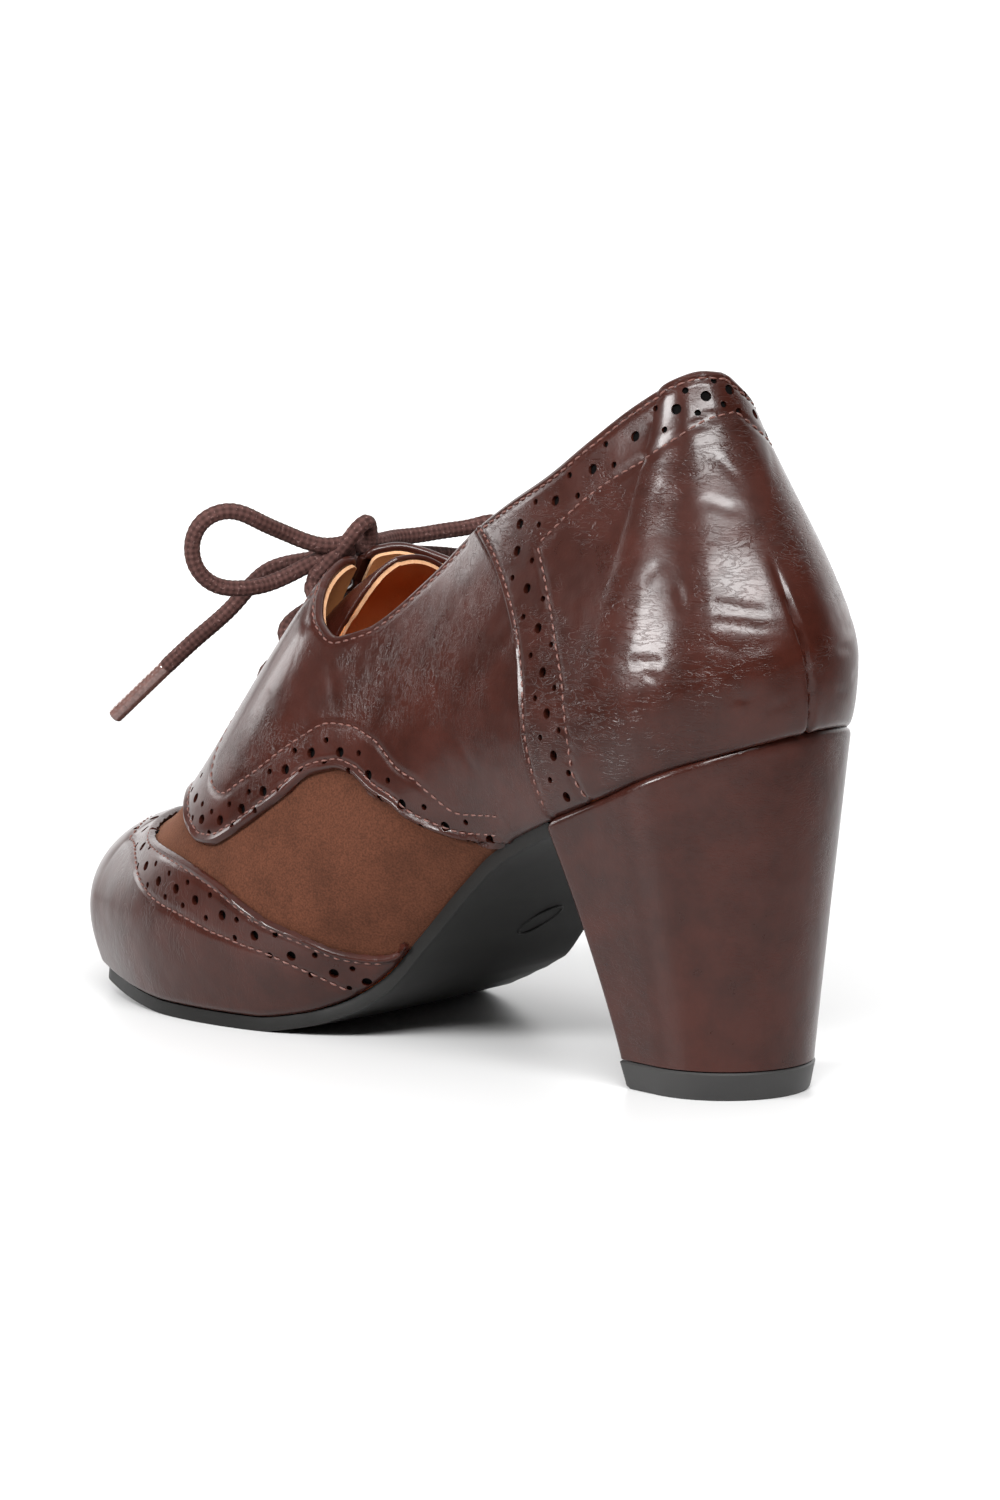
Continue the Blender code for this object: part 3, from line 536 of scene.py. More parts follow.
CAP_ROW = [
    Mark(1.488, 0.004),
    Mark(1.534, 0.077),
    Mark(1.599, 0.155),
    Mark(1.659, 0.203),
    Mark(1.743, 0.258),
    Mark(1.808, 0.307),
    Mark(1.861, 0.376),
    Mark(1.907, 0.471),
    Mark(1.965, 0.575),
    Mark(2.080, 0.660),
    Mark(2.350, 0.715),
    Mark(3.000, 0.740),
]
CAP_HOLES = [
    Mark(1.471, 0.014),
    Mark(1.504, 0.060),
    Mark(1.552, 0.125),
    Mark(1.603, 0.192),
    Mark(1.660, 0.245),
    Mark(1.715, 0.283),
    Mark(1.760, 0.319),
    Mark(1.806, 0.355),
    Mark(1.854, 0.420),
    Mark(1.900, 0.515),
    Mark(1.960, 0.640),
    Mark(2.120, 0.760),
    Mark(2.560, 0.840),
]


def trace(rows, count=400, side=OUTER):
    """Even places along a smooth line through the rows of a table."""
    fine = np.linspace(0, len(rows) - 1, 1200)
    line = [at_row(rows, key, fine) for key in ("along", "up")]
    places = even(*line, count, side)
    return tuple(np.interp(places, np.arange(len(fine)), part) for part in line)


def beside(along, up, side, distance):
    """A line at a distance beside another on the last: below it where it runs towards the toe."""
    along, up = np.array(along, float), np.array(up, float)
    step = 0.002
    parts = 4
    for _ in range(parts):
        forward = np.gradient(wall(along, up, side), axis=0)
        by_along = (wall(along + step, up, side) - wall(along - step, up, side)) / (2 * step)
        by_up = (wall(along, up + step, side) - wall(along, up - step, side)) / (2 * step)
        across = np.cross(np.cross(by_up, by_along), forward)
        across = unit(across) * distance / parts
        aa, au, uu = (by_along ** 2).sum(1), (by_along * by_up).sum(1), (by_up ** 2).sum(1)
        ga, gu = (by_along * across).sum(1), (by_up * across).sum(1)
        area = aa * uu - au ** 2
        along = np.clip(along + (uu * ga - au * gu) / area, 0, 3)
        up = np.clip(up + (aa * gu - au * ga) / area, 0, 1)
    return along, up


def lie_of(along, up, side, lift):
    """Points on a line with its forward, outward and sideways directions, in the part's frame."""
    points = to_frame(skin(along, up, side, lift))
    forward = unit(np.gradient(points, axis=0))
    outward = to_frame(skin(along, up, side, lift + 0.001)) - points
    outward = unit(outward - forward * (outward * forward).sum(1, keepdims=True))
    return points, forward, outward, np.cross(outward, forward)


def reach(points, lines):
    """Distance from grid points to the nearest of some lines of points."""
    flat = points.reshape(-1, 3)
    line = np.concatenate(lines)
    nearest = np.empty(len(flat))
    batch = 4000
    for start in range(0, len(flat), batch):
        part = flat[start:start + batch]
        nearest[start:start + batch] = np.sqrt(((part[:, None] - line[None]) ** 2).sum(2).min(1))
    return nearest.reshape(points.shape[:2])


def rounded(distance, radius):
    """Quarter-round profile: 0 at an edge and 1 from the radius inwards."""
    return np.sqrt(1 - (1 - np.clip(distance / radius, 0, 1)) ** 2)


def dip(distance, width):
    """Soft trough profile: 1 on its line, fading out over its width."""
    return np.exp(-(distance / width) ** 2)


def pressed(distance, groove):
    """Depth of a groove, or height of a ridge, at a distance from a line."""
    return groove.depth * dip(distance - groove.off, groove.width)


def crowded(count, start, end):
    """Shares from 0 to 1 whose steps shrink at the start and at the end by the given parts."""
    at = np.linspace(0, 1, count - 1)
    fade = 0.06
    steps = 1 - start * np.exp(-at / fade) - end * np.exp(-(1 - at) / fade)
    return np.concatenate([[0], np.cumsum(steps)]) / steps.sum()


def leather_panel(name, points, depth, look, joined=True):
    """A leather piece pulled over the last, closed underneath and thinned at its folded edges."""
    piece = pulled_over(name, points)
    group = piece.vertex_groups.new(name="substance")
    depth = np.maximum(depth, THINNEST)
    for number, share in enumerate((depth / depth.max()).reshape(-1)):
        group.add([number], float(share), "REPLACE")
    if joined:
        merge_edges(piece)
    piece.data.materials.append(look)
    return thickened(piece, float(depth.max()), vertex_group="substance")


def mesh_of(name, points, faces):
    """Many small like things as one joined mesh, from an array of points and a list of faces."""
    mesh = bpy.data.meshes.new(name)
    mesh.from_pydata(points.reshape(-1, 3).tolist(), [], faces)
    piece = bpy.data.objects.new(name, mesh)
    bpy.context.scene.collection.objects.link(piece)
    return piece


def tube_faces(sides, rings, count=1):
    """Faces round the walls of a count of tubes, each with the same sides and rings."""
    ring = np.arange(sides)
    after = (ring + 1) % sides
    one = np.stack([ring, after, after + sides, ring + sides], 1)
    tube = (one + np.arange(rings - 1)[:, None, None] * sides).reshape(-1, 4)
    return (tube + np.arange(count)[:, None, None] * sides * rings).reshape(-1, 4)


def stitched(name, rows, height):
    """A piece of stitches along rows of (along, up, side), on a panel whose height a function gives."""
    rings = len(STITCH_TAPER)
    x = np.linspace(-0.5, 0.5, rings) * STITCH_LENGTH
    arch = STITCH_ARCH * (1 - (2 * x / STITCH_LENGTH) ** 2) - STITCH_DROP
    thick = STITCH_WIDTH / 2 * np.array(STITCH_TAPER)
    turn = np.arange(STITCH_SIDES) * 2 * math.pi / STITCH_SIDES
    all_points = []
    for along, up, side in rows:
        lie = lie_of(along, up, side, height(along, up, side) - STITCH_SINK)
        total = run_length(lie[0])
        at = np.arange(STITCH_PITCH / 2, total[-1], STITCH_PITCH)
        at = at[np.interp(at, total, up) > LOWEST_STITCH]
        centre, f, o, w = (np.stack([np.interp(at, total, v[:, k]) for k in range(3)], -1) for v in lie)
        ring = (
            centre[:, None, None]
            + f[:, None, None] * x[None, :, None, None]
            + o[:, None, None] * (arch[:, None] + thick[:, None] * np.sin(turn))[None, :, :, None]
            + w[:, None, None] * (thick[:, None] * np.cos(turn))[None, :, :, None]
        )
        all_points.append(ring.reshape(-1, 3))
    points = np.concatenate(all_points)
    faces = tube_faces(STITCH_SIDES, rings, len(points) // (STITCH_SIDES * rings))
    dressed(mesh_of(name, points, faces.tolist()), thread, 60, "leather")


def between_rows(rows, count):
    """A line through the rows of a table with the same count of steps from row to row."""
    fine = np.linspace(0, len(rows) - 1, count * (len(rows) - 1) + 1)
    return tuple(at_row(rows, key, fine) for key in ("along", "up"))


def punch_places(along, up, side, spread, steps):
    """Large holes every so many steps of a line and pairs of small ones halfway: along, up and width."""
    large, halfway = slice(0, None, steps), slice(steps // 2, None, steps)
    places = [(along[large], up[large], BIG_HOLE + 0 * up[large])]
    for shift in (spread, -spread):
        a, u = beside(along, up, side, shift)
        places.append((a[halfway], u[halfway], SMALL_HOLE + 0 * u[halfway]))
    return tuple(np.concatenate(column) for column in zip(*places))


def pegs(places, low, high, grow):
    """Points and faces of round pegs set square to the last at punched places."""
    all_points = []
    turn = np.arange(HOLE_SIDES) * 2 * math.pi / HOLE_SIDES
    for along, up, width, side in places:
        foot = to_frame(skin(along, up, side, low))
        head = to_frame(skin(along, up, side, high))
        axis = unit(head - foot)
        flat = unit(np.cross(axis, np.array([0.0, 0.0, 1.0]) + 0 * axis))
        other = np.cross(axis, flat)
        circle = (
            flat[:, None] * np.cos(turn)[None, :, None] + other[:, None] * np.sin(turn)[None, :, None]
        ) * (width[:, None, None] / 2 * grow)
        all_points.append(np.stack([foot[:, None] + circle, head[:, None] + circle], 1).reshape(-1, 3))
    points = np.concatenate(all_points)
    count = len(points) // (2 * HOLE_SIDES)
    ring = np.arange(HOLE_SIDES)
    caps = np.stack([ring[::-1], HOLE_SIDES + ring]) + np.arange(count)[:, None, None] * 2 * HOLE_SIDES
    return points, tube_faces(HOLE_SIDES, 2, count).tolist() + caps.reshape(-1, HOLE_SIDES).tolist()


def punched(piece, places, backing_lift=0.00025):
    """Punches holes through a panel and sets near-black discs under them: partly black backing, partly
    painted shade inside the holes.
    """
    punch = mesh_of("punch", *pegs(places, PUNCH_LOW, PUNCH_HIGH, 1.0))
    apply_modifier(piece, "BOOLEAN", operation="DIFFERENCE", solver="MANIFOLD", object=punch)
    bpy.data.objects.remove(punch, do_unlink=True)
    # Near-black discs under the holes: partly black backing, partly painted shade inside the holes.
    hole_shade_discs = mesh_of(piece.name + "_backing", *pegs(places, SEAT_LIFT / 2, backing_lift, BACKING_GROW))
    hole_shade_discs.data.materials.append(hole_shade_backing)
    finished(hole_shade_discs, "leather")


# Coated leather: a thin dark red-brown film, a little paler in spots, polished, with short curved wrinkles
# in bundles and a slow unevenness that breaks up the shine. Pores are drawn at 0.8 mm so that they show.
PORE_MM, CLOUD_MM, SPOT_MM, BUNDLE_MM, SWELL_MM = 0.8, 30.0, 8.0, 17.0, 7.0


def coated_leather(name, wrinkle, depth, wander=1.3):
    """Leather whose wrinkles measure some millimetres along x, y and z and wander by a share."""
    look = new_look(name, Coat_Weight=0.22, Coat_Roughness=0.14, Specular_IOR_Level=0.21)
    place = add_node(look, "TexCoord", "Object", {})
    cloud = {"Vector": place, "Scale": 1000 / CLOUD_MM, "Detail": 4.0, "Roughness": 0.6}
    cloud = add_node(look, "TexNoise", "Fac", cloud)
    spot = {"Vector": place, "Scale": 1000 / SPOT_MM, "Detail": 6.0, "Roughness": 0.66}
    spot = add_node(look, "TexNoise", "Fac", spot)
    both = add_node(look, "Math", "Value", {0: cloud, 1: spot}, operation="ADD")
    share = add_node(look, "MapRange", "Result", {"Value": both, "From Min": 0.82, "From Max": 1.20})
    tint = {0: share, 6: linear("#2a100a"), 7: linear("#371710")}
    drive(look, "Base Color", add_node(look, "Mix", 2, tint, data_type="RGBA"))
    dull = add_node(look, "MapRange", "Result", {"Value": spot, "To Min": 0.24, "To Max": 0.34})
    drive(look, "Roughness", dull)
    run = {"Vector": place, "Scale": tuple(1000 / mm for mm in wrinkle)}
    run = add_node(look, "Mapping", "Vector", run)
    folds = {"Vector": run, "Scale": 1.0, "Detail": 2.0, "Roughness": 0.55, "Distortion": wander}
    folds = add_node(look, "TexNoise", "Fac", folds)
    centre = add_node(look, "Math", "Value", {0: folds, 1: 0.5}, operation="SUBTRACT")
    away = add_node(look, "Math", "Value", {0: centre}, operation="ABSOLUTE")
    line = {"Value": away, "From Min": 0.0, "From Max": 0.05, "To Min": 1.0, "To Max": 0.0}
    line = add_node(look, "MapRange", "Result", line)
    bundle = add_node(look, "TexNoise", "Fac", {"Vector": place, "Scale": 1000 / BUNDLE_MM, "Detail": 2.0})
    bundled = add_node(look, "MapRange", "Result", {"Value": bundle, "From Min": 0.42, "From Max": 0.62})
    grooves = add_node(look, "Math", "Value", {0: line, 1: bundled}, operation="MULTIPLY")
    swell = add_node(look, "TexNoise", "Fac", {"Vector": place, "Scale": 1000 / SWELL_MM, "Detail": 1.0})
    slow = add_node(look, "Bump", "Normal", {"Height": swell, "Strength": 0.32, "Distance": 0.0008})
    pore = add_node(look, "TexNoise", "Fac", {"Vector": place, "Scale": 1000 / PORE_MM, "Detail": 3.0})
    fine = {"Height": pore, "Strength": 0.22, "Distance": 0.00012, "Normal": slow}
    fine = add_node(look, "Bump", "Normal", fine)
    cut = {"Height": grooves, "Strength": depth, "Distance": 0.0002, "Normal": fine}
    drive(look, "Normal", add_node(look, "Bump", "Normal", cut, invert=True))
    return look


cap_leather = coated_leather("crackled_leather_cap", (3.0, 3.0, 6.0), 0.24)

# Thread: twisted polyester, brown with a little shine.
PLY_MM = 0.9
thread = new_look("brown_thread", Roughness=0.45)
place = add_node(thread, "TexCoord", "Object", {})
ply = add_node(thread, "TexNoise", "Fac", {"Vector": place, "Scale": 1000 / PLY_MM, "Detail": 1.0})
tint = {0: ply, 6: linear("#351a13"), 7: linear("#764a40")}
drive(thread, "Base Color", add_node(thread, "Mix", 2, tint, data_type="RGBA"))

# Backing: near-black discs under the punched holes, partly black fabric and partly painted shade for the
# inside of the holes.
WEAVE_MM = 0.5
hole_shade_backing = new_look("hole_shade_backing", Roughness=0.9, Specular_IOR_Level=0.06)
place = add_node(hole_shade_backing, "TexCoord", "Object", {})
weave = add_node(hole_shade_backing, "TexNoise", "Fac", {"Vector": place, "Scale": 1000 / WEAVE_MM})
tint = {0: weave, 6: linear("#020202"), 7: linear("#0e0d0d")}
drive(hole_shade_backing, "Base Color", add_node(hole_shade_backing, "Mix", 2, tint, data_type="RGBA"))

CAP_COLUMNS, CAP_TIP_COLUMNS, CAP_ROWS = 110, 30, 60
wing_along, wing_up = trace(WING, CAP_COLUMNS)
tip_along = np.linspace(2, 3, CAP_TIP_COLUMNS)[1:]
half_along = np.concatenate([wing_along, tip_along])
half_up = np.concatenate([wing_up, np.ones(len(tip_along))])
cap_along = np.concatenate([half_along, half_along[::-1]])
cap_up = np.maximum(np.concatenate([half_up, half_up[::-1]]), CAP_LOWEST)
cap_side = np.where(np.arange(len(cap_along)) < len(half_along), OUTER, INNER)
share = crowded(CAP_ROWS, 0.5, 0.85)
along = np.repeat(cap_along[:, None], CAP_ROWS, 1)
up = cap_up[:, None] * share
side = np.repeat(cap_side[:, None], CAP_ROWS, 1)
points = wall(along, up, side)
edges = [wall(*trace(WING), side_) for side_ in (OUTER, INNER)]
hem_rows, band_rows, holes = [], [], []
for side_ in (OUTER, INNER):
    wing_line = [column[4:-30] for column in trace(WING, 600)]
    hem_rows.append((*beside(*wing_line, side_, CAP_HEM), side_))
    band_rows.append((*trace(CAP_ROW, 600), side_))
    a, u, width = punch_places(*between_rows(CAP_HOLES, HOLE_STEPS), side_, CAP_SPREAD, HOLE_STEPS)
    holes.append((a, u, width, side_))
edge = reach(points, edges)
hem = reach(points, [wall(*row) for row in hem_rows])
band = reach(points, [wall(*row) for row in band_rows])


def cap_height(along, up, side):
    """Height of the cap's leather over the last, drawn in at the sole."""
    return SEAT_LIFT + CAP_DEPTH * rounded(up * CAP_WALL, CAP_DRAW)


lift = SEAT_LIFT + (cap_height(along, up, side) - SEAT_LIFT) * rounded(edge, EDGE_ROUND)
lift = lift + pressed(edge, CAP_FOLD) - pressed(hem, HEM) - pressed(band, BAND)
lift = np.maximum(lift, SEAT_LIFT)
toe_cap = leather_panel("toe_cap_leather", skin(along, up, side, lift), lift - SEAT_LIFT, cap_leather)
punched(toe_cap, holes)
smooth(toe_cap, 35)
finished(toe_cap, "leather", "toe_cap")
stitched("toe_cap_stitches", hem_rows + band_rows, cap_height)

# Quarters: coated leather on both sides, meeting in front of the throat, with a punched band along the
# folded lower edge. The top edge is rolled over the lining along collar, notch and facing.
QUARTER_DEPTH, QUARTER_WALL, QUARTER_DRAW = 0.0013, 0.080, 0.0016
QUARTER_HEM, QUARTER_SPREAD, COLLAR_HEM = 0.0022, 0.0023, 0.0007
SKIVE_SHARE, SKIVE_FROM, SKIVE_RUN = 0.8, 0.0004, 0.0016
QUARTER_FOLD, TOP_SEAM = Groove(0.0004, 0.0011, 0.0009), Groove(0.00025, 0.0, 0.0006)
ROLL_INSIDE, ROLL_DEPTH, ROLL_STEPS = -0.0008, 0.0004, 7
FACING_MET = 0.999
QUARTER_COLUMNS, QUARTER_ROWS = 190, 74
Quarter = namedtuple("Quarter", "along up top")
QUARTER = [
    Quarter(1.905, 1.000, 18.0),
    Quarter(1.880, 0.800, 17.2),
    Quarter(1.815, 0.580, 16.4),
    Quarter(1.765, 0.450, 15.7),
    Quarter(1.725, 0.392, 15.3),
    Quarter(1.682, 0.372, 14.9),
    Quarter(1.630, 0.380, 14.0),
    Quarter(1.572, 0.397, 12.8),
    Quarter(1.531, 0.415, 11.9),
    Quarter(1.490, 0.406, 11.2),
    Quarter(1.457, 0.376, 10.6),
    Quarter(1.404, 0.270, 9.8),
    Quarter(1.355, 0.164, 9.1),
    Quarter(1.312, 0.096, 8.5),
    Quarter(1.266, 0.042, 8.0),
    Quarter(1.203, 0.000, 7.5),
    Quarter(1.100, 0.000, 6.6),
    Quarter(0.985, 0.000, 5.4),
]
BAND_ROW = [
    Mark(1.195, 0.056),
    Mark(1.269, 0.099),
    Mark(1.316, 0.174),
    Mark(1.366, 0.275),
    Mark(1.423, 0.408),
    Mark(1.470, 0.468),
    Mark(1.518, 0.490),
    Mark(1.557, 0.480),
    Mark(1.629, 0.460),
    Mark(1.678, 0.456),
    Mark(1.716, 0.492),
    Mark(1.739, 0.551),
    Mark(1.752, 0.630),
    Mark(1.745, 0.710),
    Mark(1.712, 0.770),
    Mark(1.665, 0.800),
    Mark(1.622, 0.790),
]
QUARTER_HOLES = [
    Mark(1.862, 0.930),
    Mark(1.838, 0.800),
    Mark(1.803, 0.650),
    Mark(1.760, 0.512),
    Mark(1.726, 0.438),
    Mark(1.682, 0.409),
    Mark(1.641, 0.408),
    Mark(1.604, 0.419),
    Mark(1.569, 0.438),
    Mark(1.528, 0.449),
    Mark(1.478, 0.428),
    Mark(1.422, 0.340),
    Mark(1.362, 0.202),
    Mark(1.299, 0.101),
    Mark(1.225, 0.023),
]


# Front edge of the counter, which the quarter runs under: how far it bows back on its way up.
COUNTER_FOOT, COUNTER_TOP = 1.090, 6.93
Bow = namedtuple("Bow", "rise back")
BOW = [Bow(0.0, 0.0), Bow(0.27, 0.025), Bow(0.54, 0.055), Bow(0.76, 0.045), Bow(1.0, 0.0)]


def counter_front(share, side):
    """Front edge of the counter from the sole up to the collar."""
    top_along, top_up, _ = collar_line(COUNTER_TOP, side)
    along = COUNTER_FOOT + (top_along - COUNTER_FOOT) * share - spline(BOW, "back", share)
    return along, (top_up - COLLAR_DROP) * share


def quarter_height(along, up, side):
    """Height of the quarter's leather, drawn in at the sole and thinned under the counter."""
    front_along, front_up = counter_front(np.linspace(0, 1, 60), side)
    under = (np.interp(up, front_up, front_along) - along) * (TOE_AXIS - HEEL_AXIS)
    kept = 1 - SKIVE_SHARE * np.clip((under - SKIVE_FROM) / SKIVE_RUN, 0, 1)
    return SEAT_LIFT + QUARTER_DEPTH * rounded(up * QUARTER_WALL, QUARTER_DRAW) * kept


Crease = namedtuple("Crease", "along up to_along to_up depth")
QUARTER_CREASES = [
    Crease(1.534, 0.603, 1.495, 0.506, 0.00011),
    Crease(1.460, 0.610, 1.438, 0.475, 0.00014),
    Crease(1.438, 0.600, 1.420, 0.470, 0.00008),
    Crease(1.322, 0.470, 1.291, 0.306, 0.00014),
    Crease(1.306, 0.480, 1.276, 0.320, 0.00009),
    Crease(1.291, 0.620, 1.256, 0.541, 0.00011),
    Crease(1.656, 0.616, 1.582, 0.500, 0.00011),
    Crease(1.272, 0.259, 1.218, 0.151, 0.00010),
]


def creases(points, rows, side, width=0.0011):
    """Depth of soft troughs along listed lines, fading at their ends."""
    steps, part = 40, 8
    share = np.linspace(0, 1, steps)
    depth = 0.0
    for row in rows:
        along = row.along + (row.to_along - row.along) * share
        up = row.up + (row.to_up - row.up) * share + 0.004 * np.sin(share * 2 * math.pi)
        line = wall(along, up, side)
        for start in range(0, steps, part):
            fade = math.sin(math.pi * (start + part / 2) / steps)
            near = dip(reach(points, [line[start:start + part]]), width)
            depth = np.maximum(depth, row.depth * fade * near)
    return depth


def rolled_over(along, up, side, lift):
    """Rows of points that roll a top edge over from its outside to the inside of the wall."""
    top = wall(along, up, side)
    outward = unit(skin(along, up, side, 0.001) - top)
    rise = np.cross(outward, unit(np.gradient(top, axis=0)))
    rise *= np.sign((rise * (top - wall(along, up - 0.02, side))).sum(1))[:, None]
    middle, radius = (lift + ROLL_INSIDE) / 2, (lift - ROLL_INSIDE) / 2
    rows = [
        top + outward * (middle + radius * np.cos(t))[:, None] + rise * (radius * np.sin(t))[:, None]
        for t in np.linspace(0, math.pi, ROLL_STEPS + 1)[1:]
    ]
    return np.stack(rows, 1)


fine = np.linspace(0, len(QUARTER) - 1, 1200)
line = [at_row(QUARTER, key, fine) for key in ("along", "up")]
places = np.interp(even(*line, QUARTER_COLUMNS), np.arange(len(fine)), fine)
low_along, low_up, top_place = (at_row(QUARTER, key, places) for key in ("along", "up", "top"))
share = crowded(QUARTER_ROWS, 0.85, 0.6)
quarter_leather = coated_leather("crackled_leather_quarter", (1.6, 3.0, 3.6), 0.24, 2.2)
quarter_rows = []
for name, side_ in (("quarter_outer", OUTER), ("quarter_inner", INNER)):
    top_along, top_up, _ = collar_line(top_place, side_)
    top_up = np.where(top_up < FACING_MET, top_up - COLLAR_DROP, top_up)
    along = low_along[:, None] + (top_along - low_along)[:, None] * share
    up = low_up[:, None] + (top_up - low_up)[:, None] * share
    points = wall(along, up, side_)
    edge_along, edge_up = trace(QUARTER[:-2], 600)
    hem_row = (*beside(edge_along[4:-4], edge_up[4:-4], side_, QUARTER_HEM), side_)
    band_row = (*trace(BAND_ROW, 600), side_)
    collar_along, collar_up, _ = collar_line(np.linspace(7.2, 17.6, 900), side_)
    top_row = (*beside(collar_along, collar_up - COLLAR_DROP, side_, COLLAR_HEM), side_)
    edge, hem, band, top = (
        reach(points, [wall(*row)]) for row in ((edge_along, edge_up, side_), hem_row, band_row, top_row)
    )
    lift = SEAT_LIFT + (quarter_height(along, up, side_) - SEAT_LIFT) * rounded(edge, EDGE_ROUND)
    lift = lift + pressed(edge, QUARTER_FOLD) - pressed(hem, HEM)
    lift = lift - pressed(band, BAND) - pressed(top, TOP_SEAM)
    lift = np.maximum(lift - creases(points, QUARTER_CREASES, side_), SEAT_LIFT)
    grid = skin(along, up, side_, lift)
    roll = rolled_over(along[:, -1], up[:, -1], side_, lift[:, -1])
    closed = top_up >= FACING_MET
    roll[closed] = grid[closed, -1][:, None]
    grid = np.concatenate([grid, roll], 1)
    depth = np.concatenate([lift - SEAT_LIFT, np.full(roll.shape[:2], ROLL_DEPTH)], 1)
    order = slice(None, None, -1) if side_ == OUTER else slice(None)
    quarter = leather_panel(name + "_leather", grid[order], depth[order], quarter_leather)
    a, u, width = punch_places(*between_rows(QUARTER_HOLES, HOLE_STEPS), side_, QUARTER_SPREAD, HOLE_STEPS)
    punched(quarter, [(a, u, width, side_)])
    smooth(quarter, 35)
    finished(quarter, "leather", name)
    quarter_rows += [hem_row, band_row, top_row]
stitched("quarter_stitches", quarter_rows, quarter_height)

# Counter: coated leather round the heel over the ends of the quarters, with a punched band along the
# collar and down its front edges, and a short closed dart up the middle of the back.
COUNTER_DEPTH, COUNTER_WALL, COUNTER_DRAW = 0.0019, 0.075, 0.0022
COUNTER_HEM, COUNTER_BACKING, CREASE_WIDTH = 0.0017, 0.0006, 0.0009
COUNTER_FOLD, COUNTER_SEAM = Groove(0.0003, 0.0010, 0.0008), Groove(0.00035, 0.0, 0.0006)
DART, DART_LIPS = Groove(0.0010, 0.0, 0.0005), Groove(0.00012, 0.0016, 0.0012)
COUNTER_COLUMNS, COUNTER_ROWS = 120, 84
DART_TOP, DART_REACH, DART_FADE = 0.54, 0.12, 0.22
COLLAR_THIN, THIN_FROM, THIN_RUN = 0.0007, 0.55, 0.3
Short = namedtuple("Short", "along drop")
COUNTER_SHORT = [
    Short(0.00, 0.010),
    Short(0.90, 0.008),
    Short(1.06, 0.011),
    Short(1.20, 0.018),
    Short(1.31, 0.020),
]
COUNTER_CREASES = [
    Crease(0.475, 0.451, 0.160, 0.396, 0.00020),
    Crease(0.467, 0.407, 0.164, 0.351, 0.00016),
    Crease(0.491, 0.360, 0.294, 0.299, 0.00020),
    Crease(0.434, 0.305, 0.185, 0.316, 0.00014),
    Crease(0.375, 0.160, 0.289, 0.164, 0.00016),
    Crease(0.264, 0.237, 0.132, 0.258, 0.00018),
    Crease(0.243, 0.094, 0.129, 0.131, 0.00016),
    Crease(0.798, 0.359, 0.623, 0.344, 0.00018),
    Crease(0.715, 0.316, 0.652, 0.300, 0.00014),
    Crease(0.447, 0.668, 0.232, 0.644, 0.00018),
    Crease(0.334, 0.763, 0.151, 0.701, 0.00016),
    Crease(0.590, 0.511, 0.547, 0.451, 0.00014),
    Crease(0.760, 0.734, 0.754, 0.690, 0.00014),
    Crease(0.703, 0.562, 0.751, 0.540, 0.00014),
]
COUNTER_ROW = [
    Mark(0.000, 0.855),
    Mark(0.311, 0.848),
    Mark(0.686, 0.816),
    Mark(1.034, 0.782),
    Mark(1.087, 0.760),
    Mark(1.151, 0.700),
]
COUNTER_DROP = [
    Mark(1.154, 0.692),
    Mark(1.097, 0.529),
    Mark(1.075, 0.455),
    Mark(1.043, 0.336),
    Mark(1.027, 0.210),
    Mark(1.019, 0.094),
    Mark(0.997, 0.000),
]
COLLAR_HOLES = [
    Mark(0.000, 0.909),
    Mark(0.330, 0.900),
    Mark(0.681, 0.880),
    Mark(1.023, 0.849),
    Mark(1.082, 0.820),
    Mark(1.137, 0.783),
    Mark(1.199, 0.755),
]
FRONT_HOLES = [
    Mark(1.192, 0.690),
    Mark(1.155, 0.599),
    Mark(1.117, 0.506),
    Mark(1.091, 0.401),
    Mark(1.070, 0.292),
    Mark(1.054, 0.165),
    Mark(1.037, 0.040),
]


def counter_top(place, side):
    """Top edge of the counter: along and up at places of the collar."""
    along, up, _ = collar_line(place, side)
    return along, up - monotone(values(COUNTER_SHORT, "along"), values(COUNTER_SHORT, "drop"), along)


def counter_height(along, up, side):
    """Height of the counter's leather, drawn in at the sole and thinner along the collar."""
    thin = COUNTER_DEPTH - COLLAR_THIN * np.clip((up - THIN_FROM) / THIN_RUN, 0, 1)
    return SEAT_LIFT + thin * rounded(up * COUNTER_WALL, COUNTER_DRAW)


def fitted(along, up, side):
    """Lowers a line of the outer side to the lower collar of the inner side."""
    if side == OUTER:
        return along, up
    place = np.interp(along, values(COLLAR, "along"), np.arange(len(COLLAR)))
    _, outer, _ = collar_line(place, OUTER)
    _, inner, _ = collar_line(place, INNER)
    return along, up * inner / outer


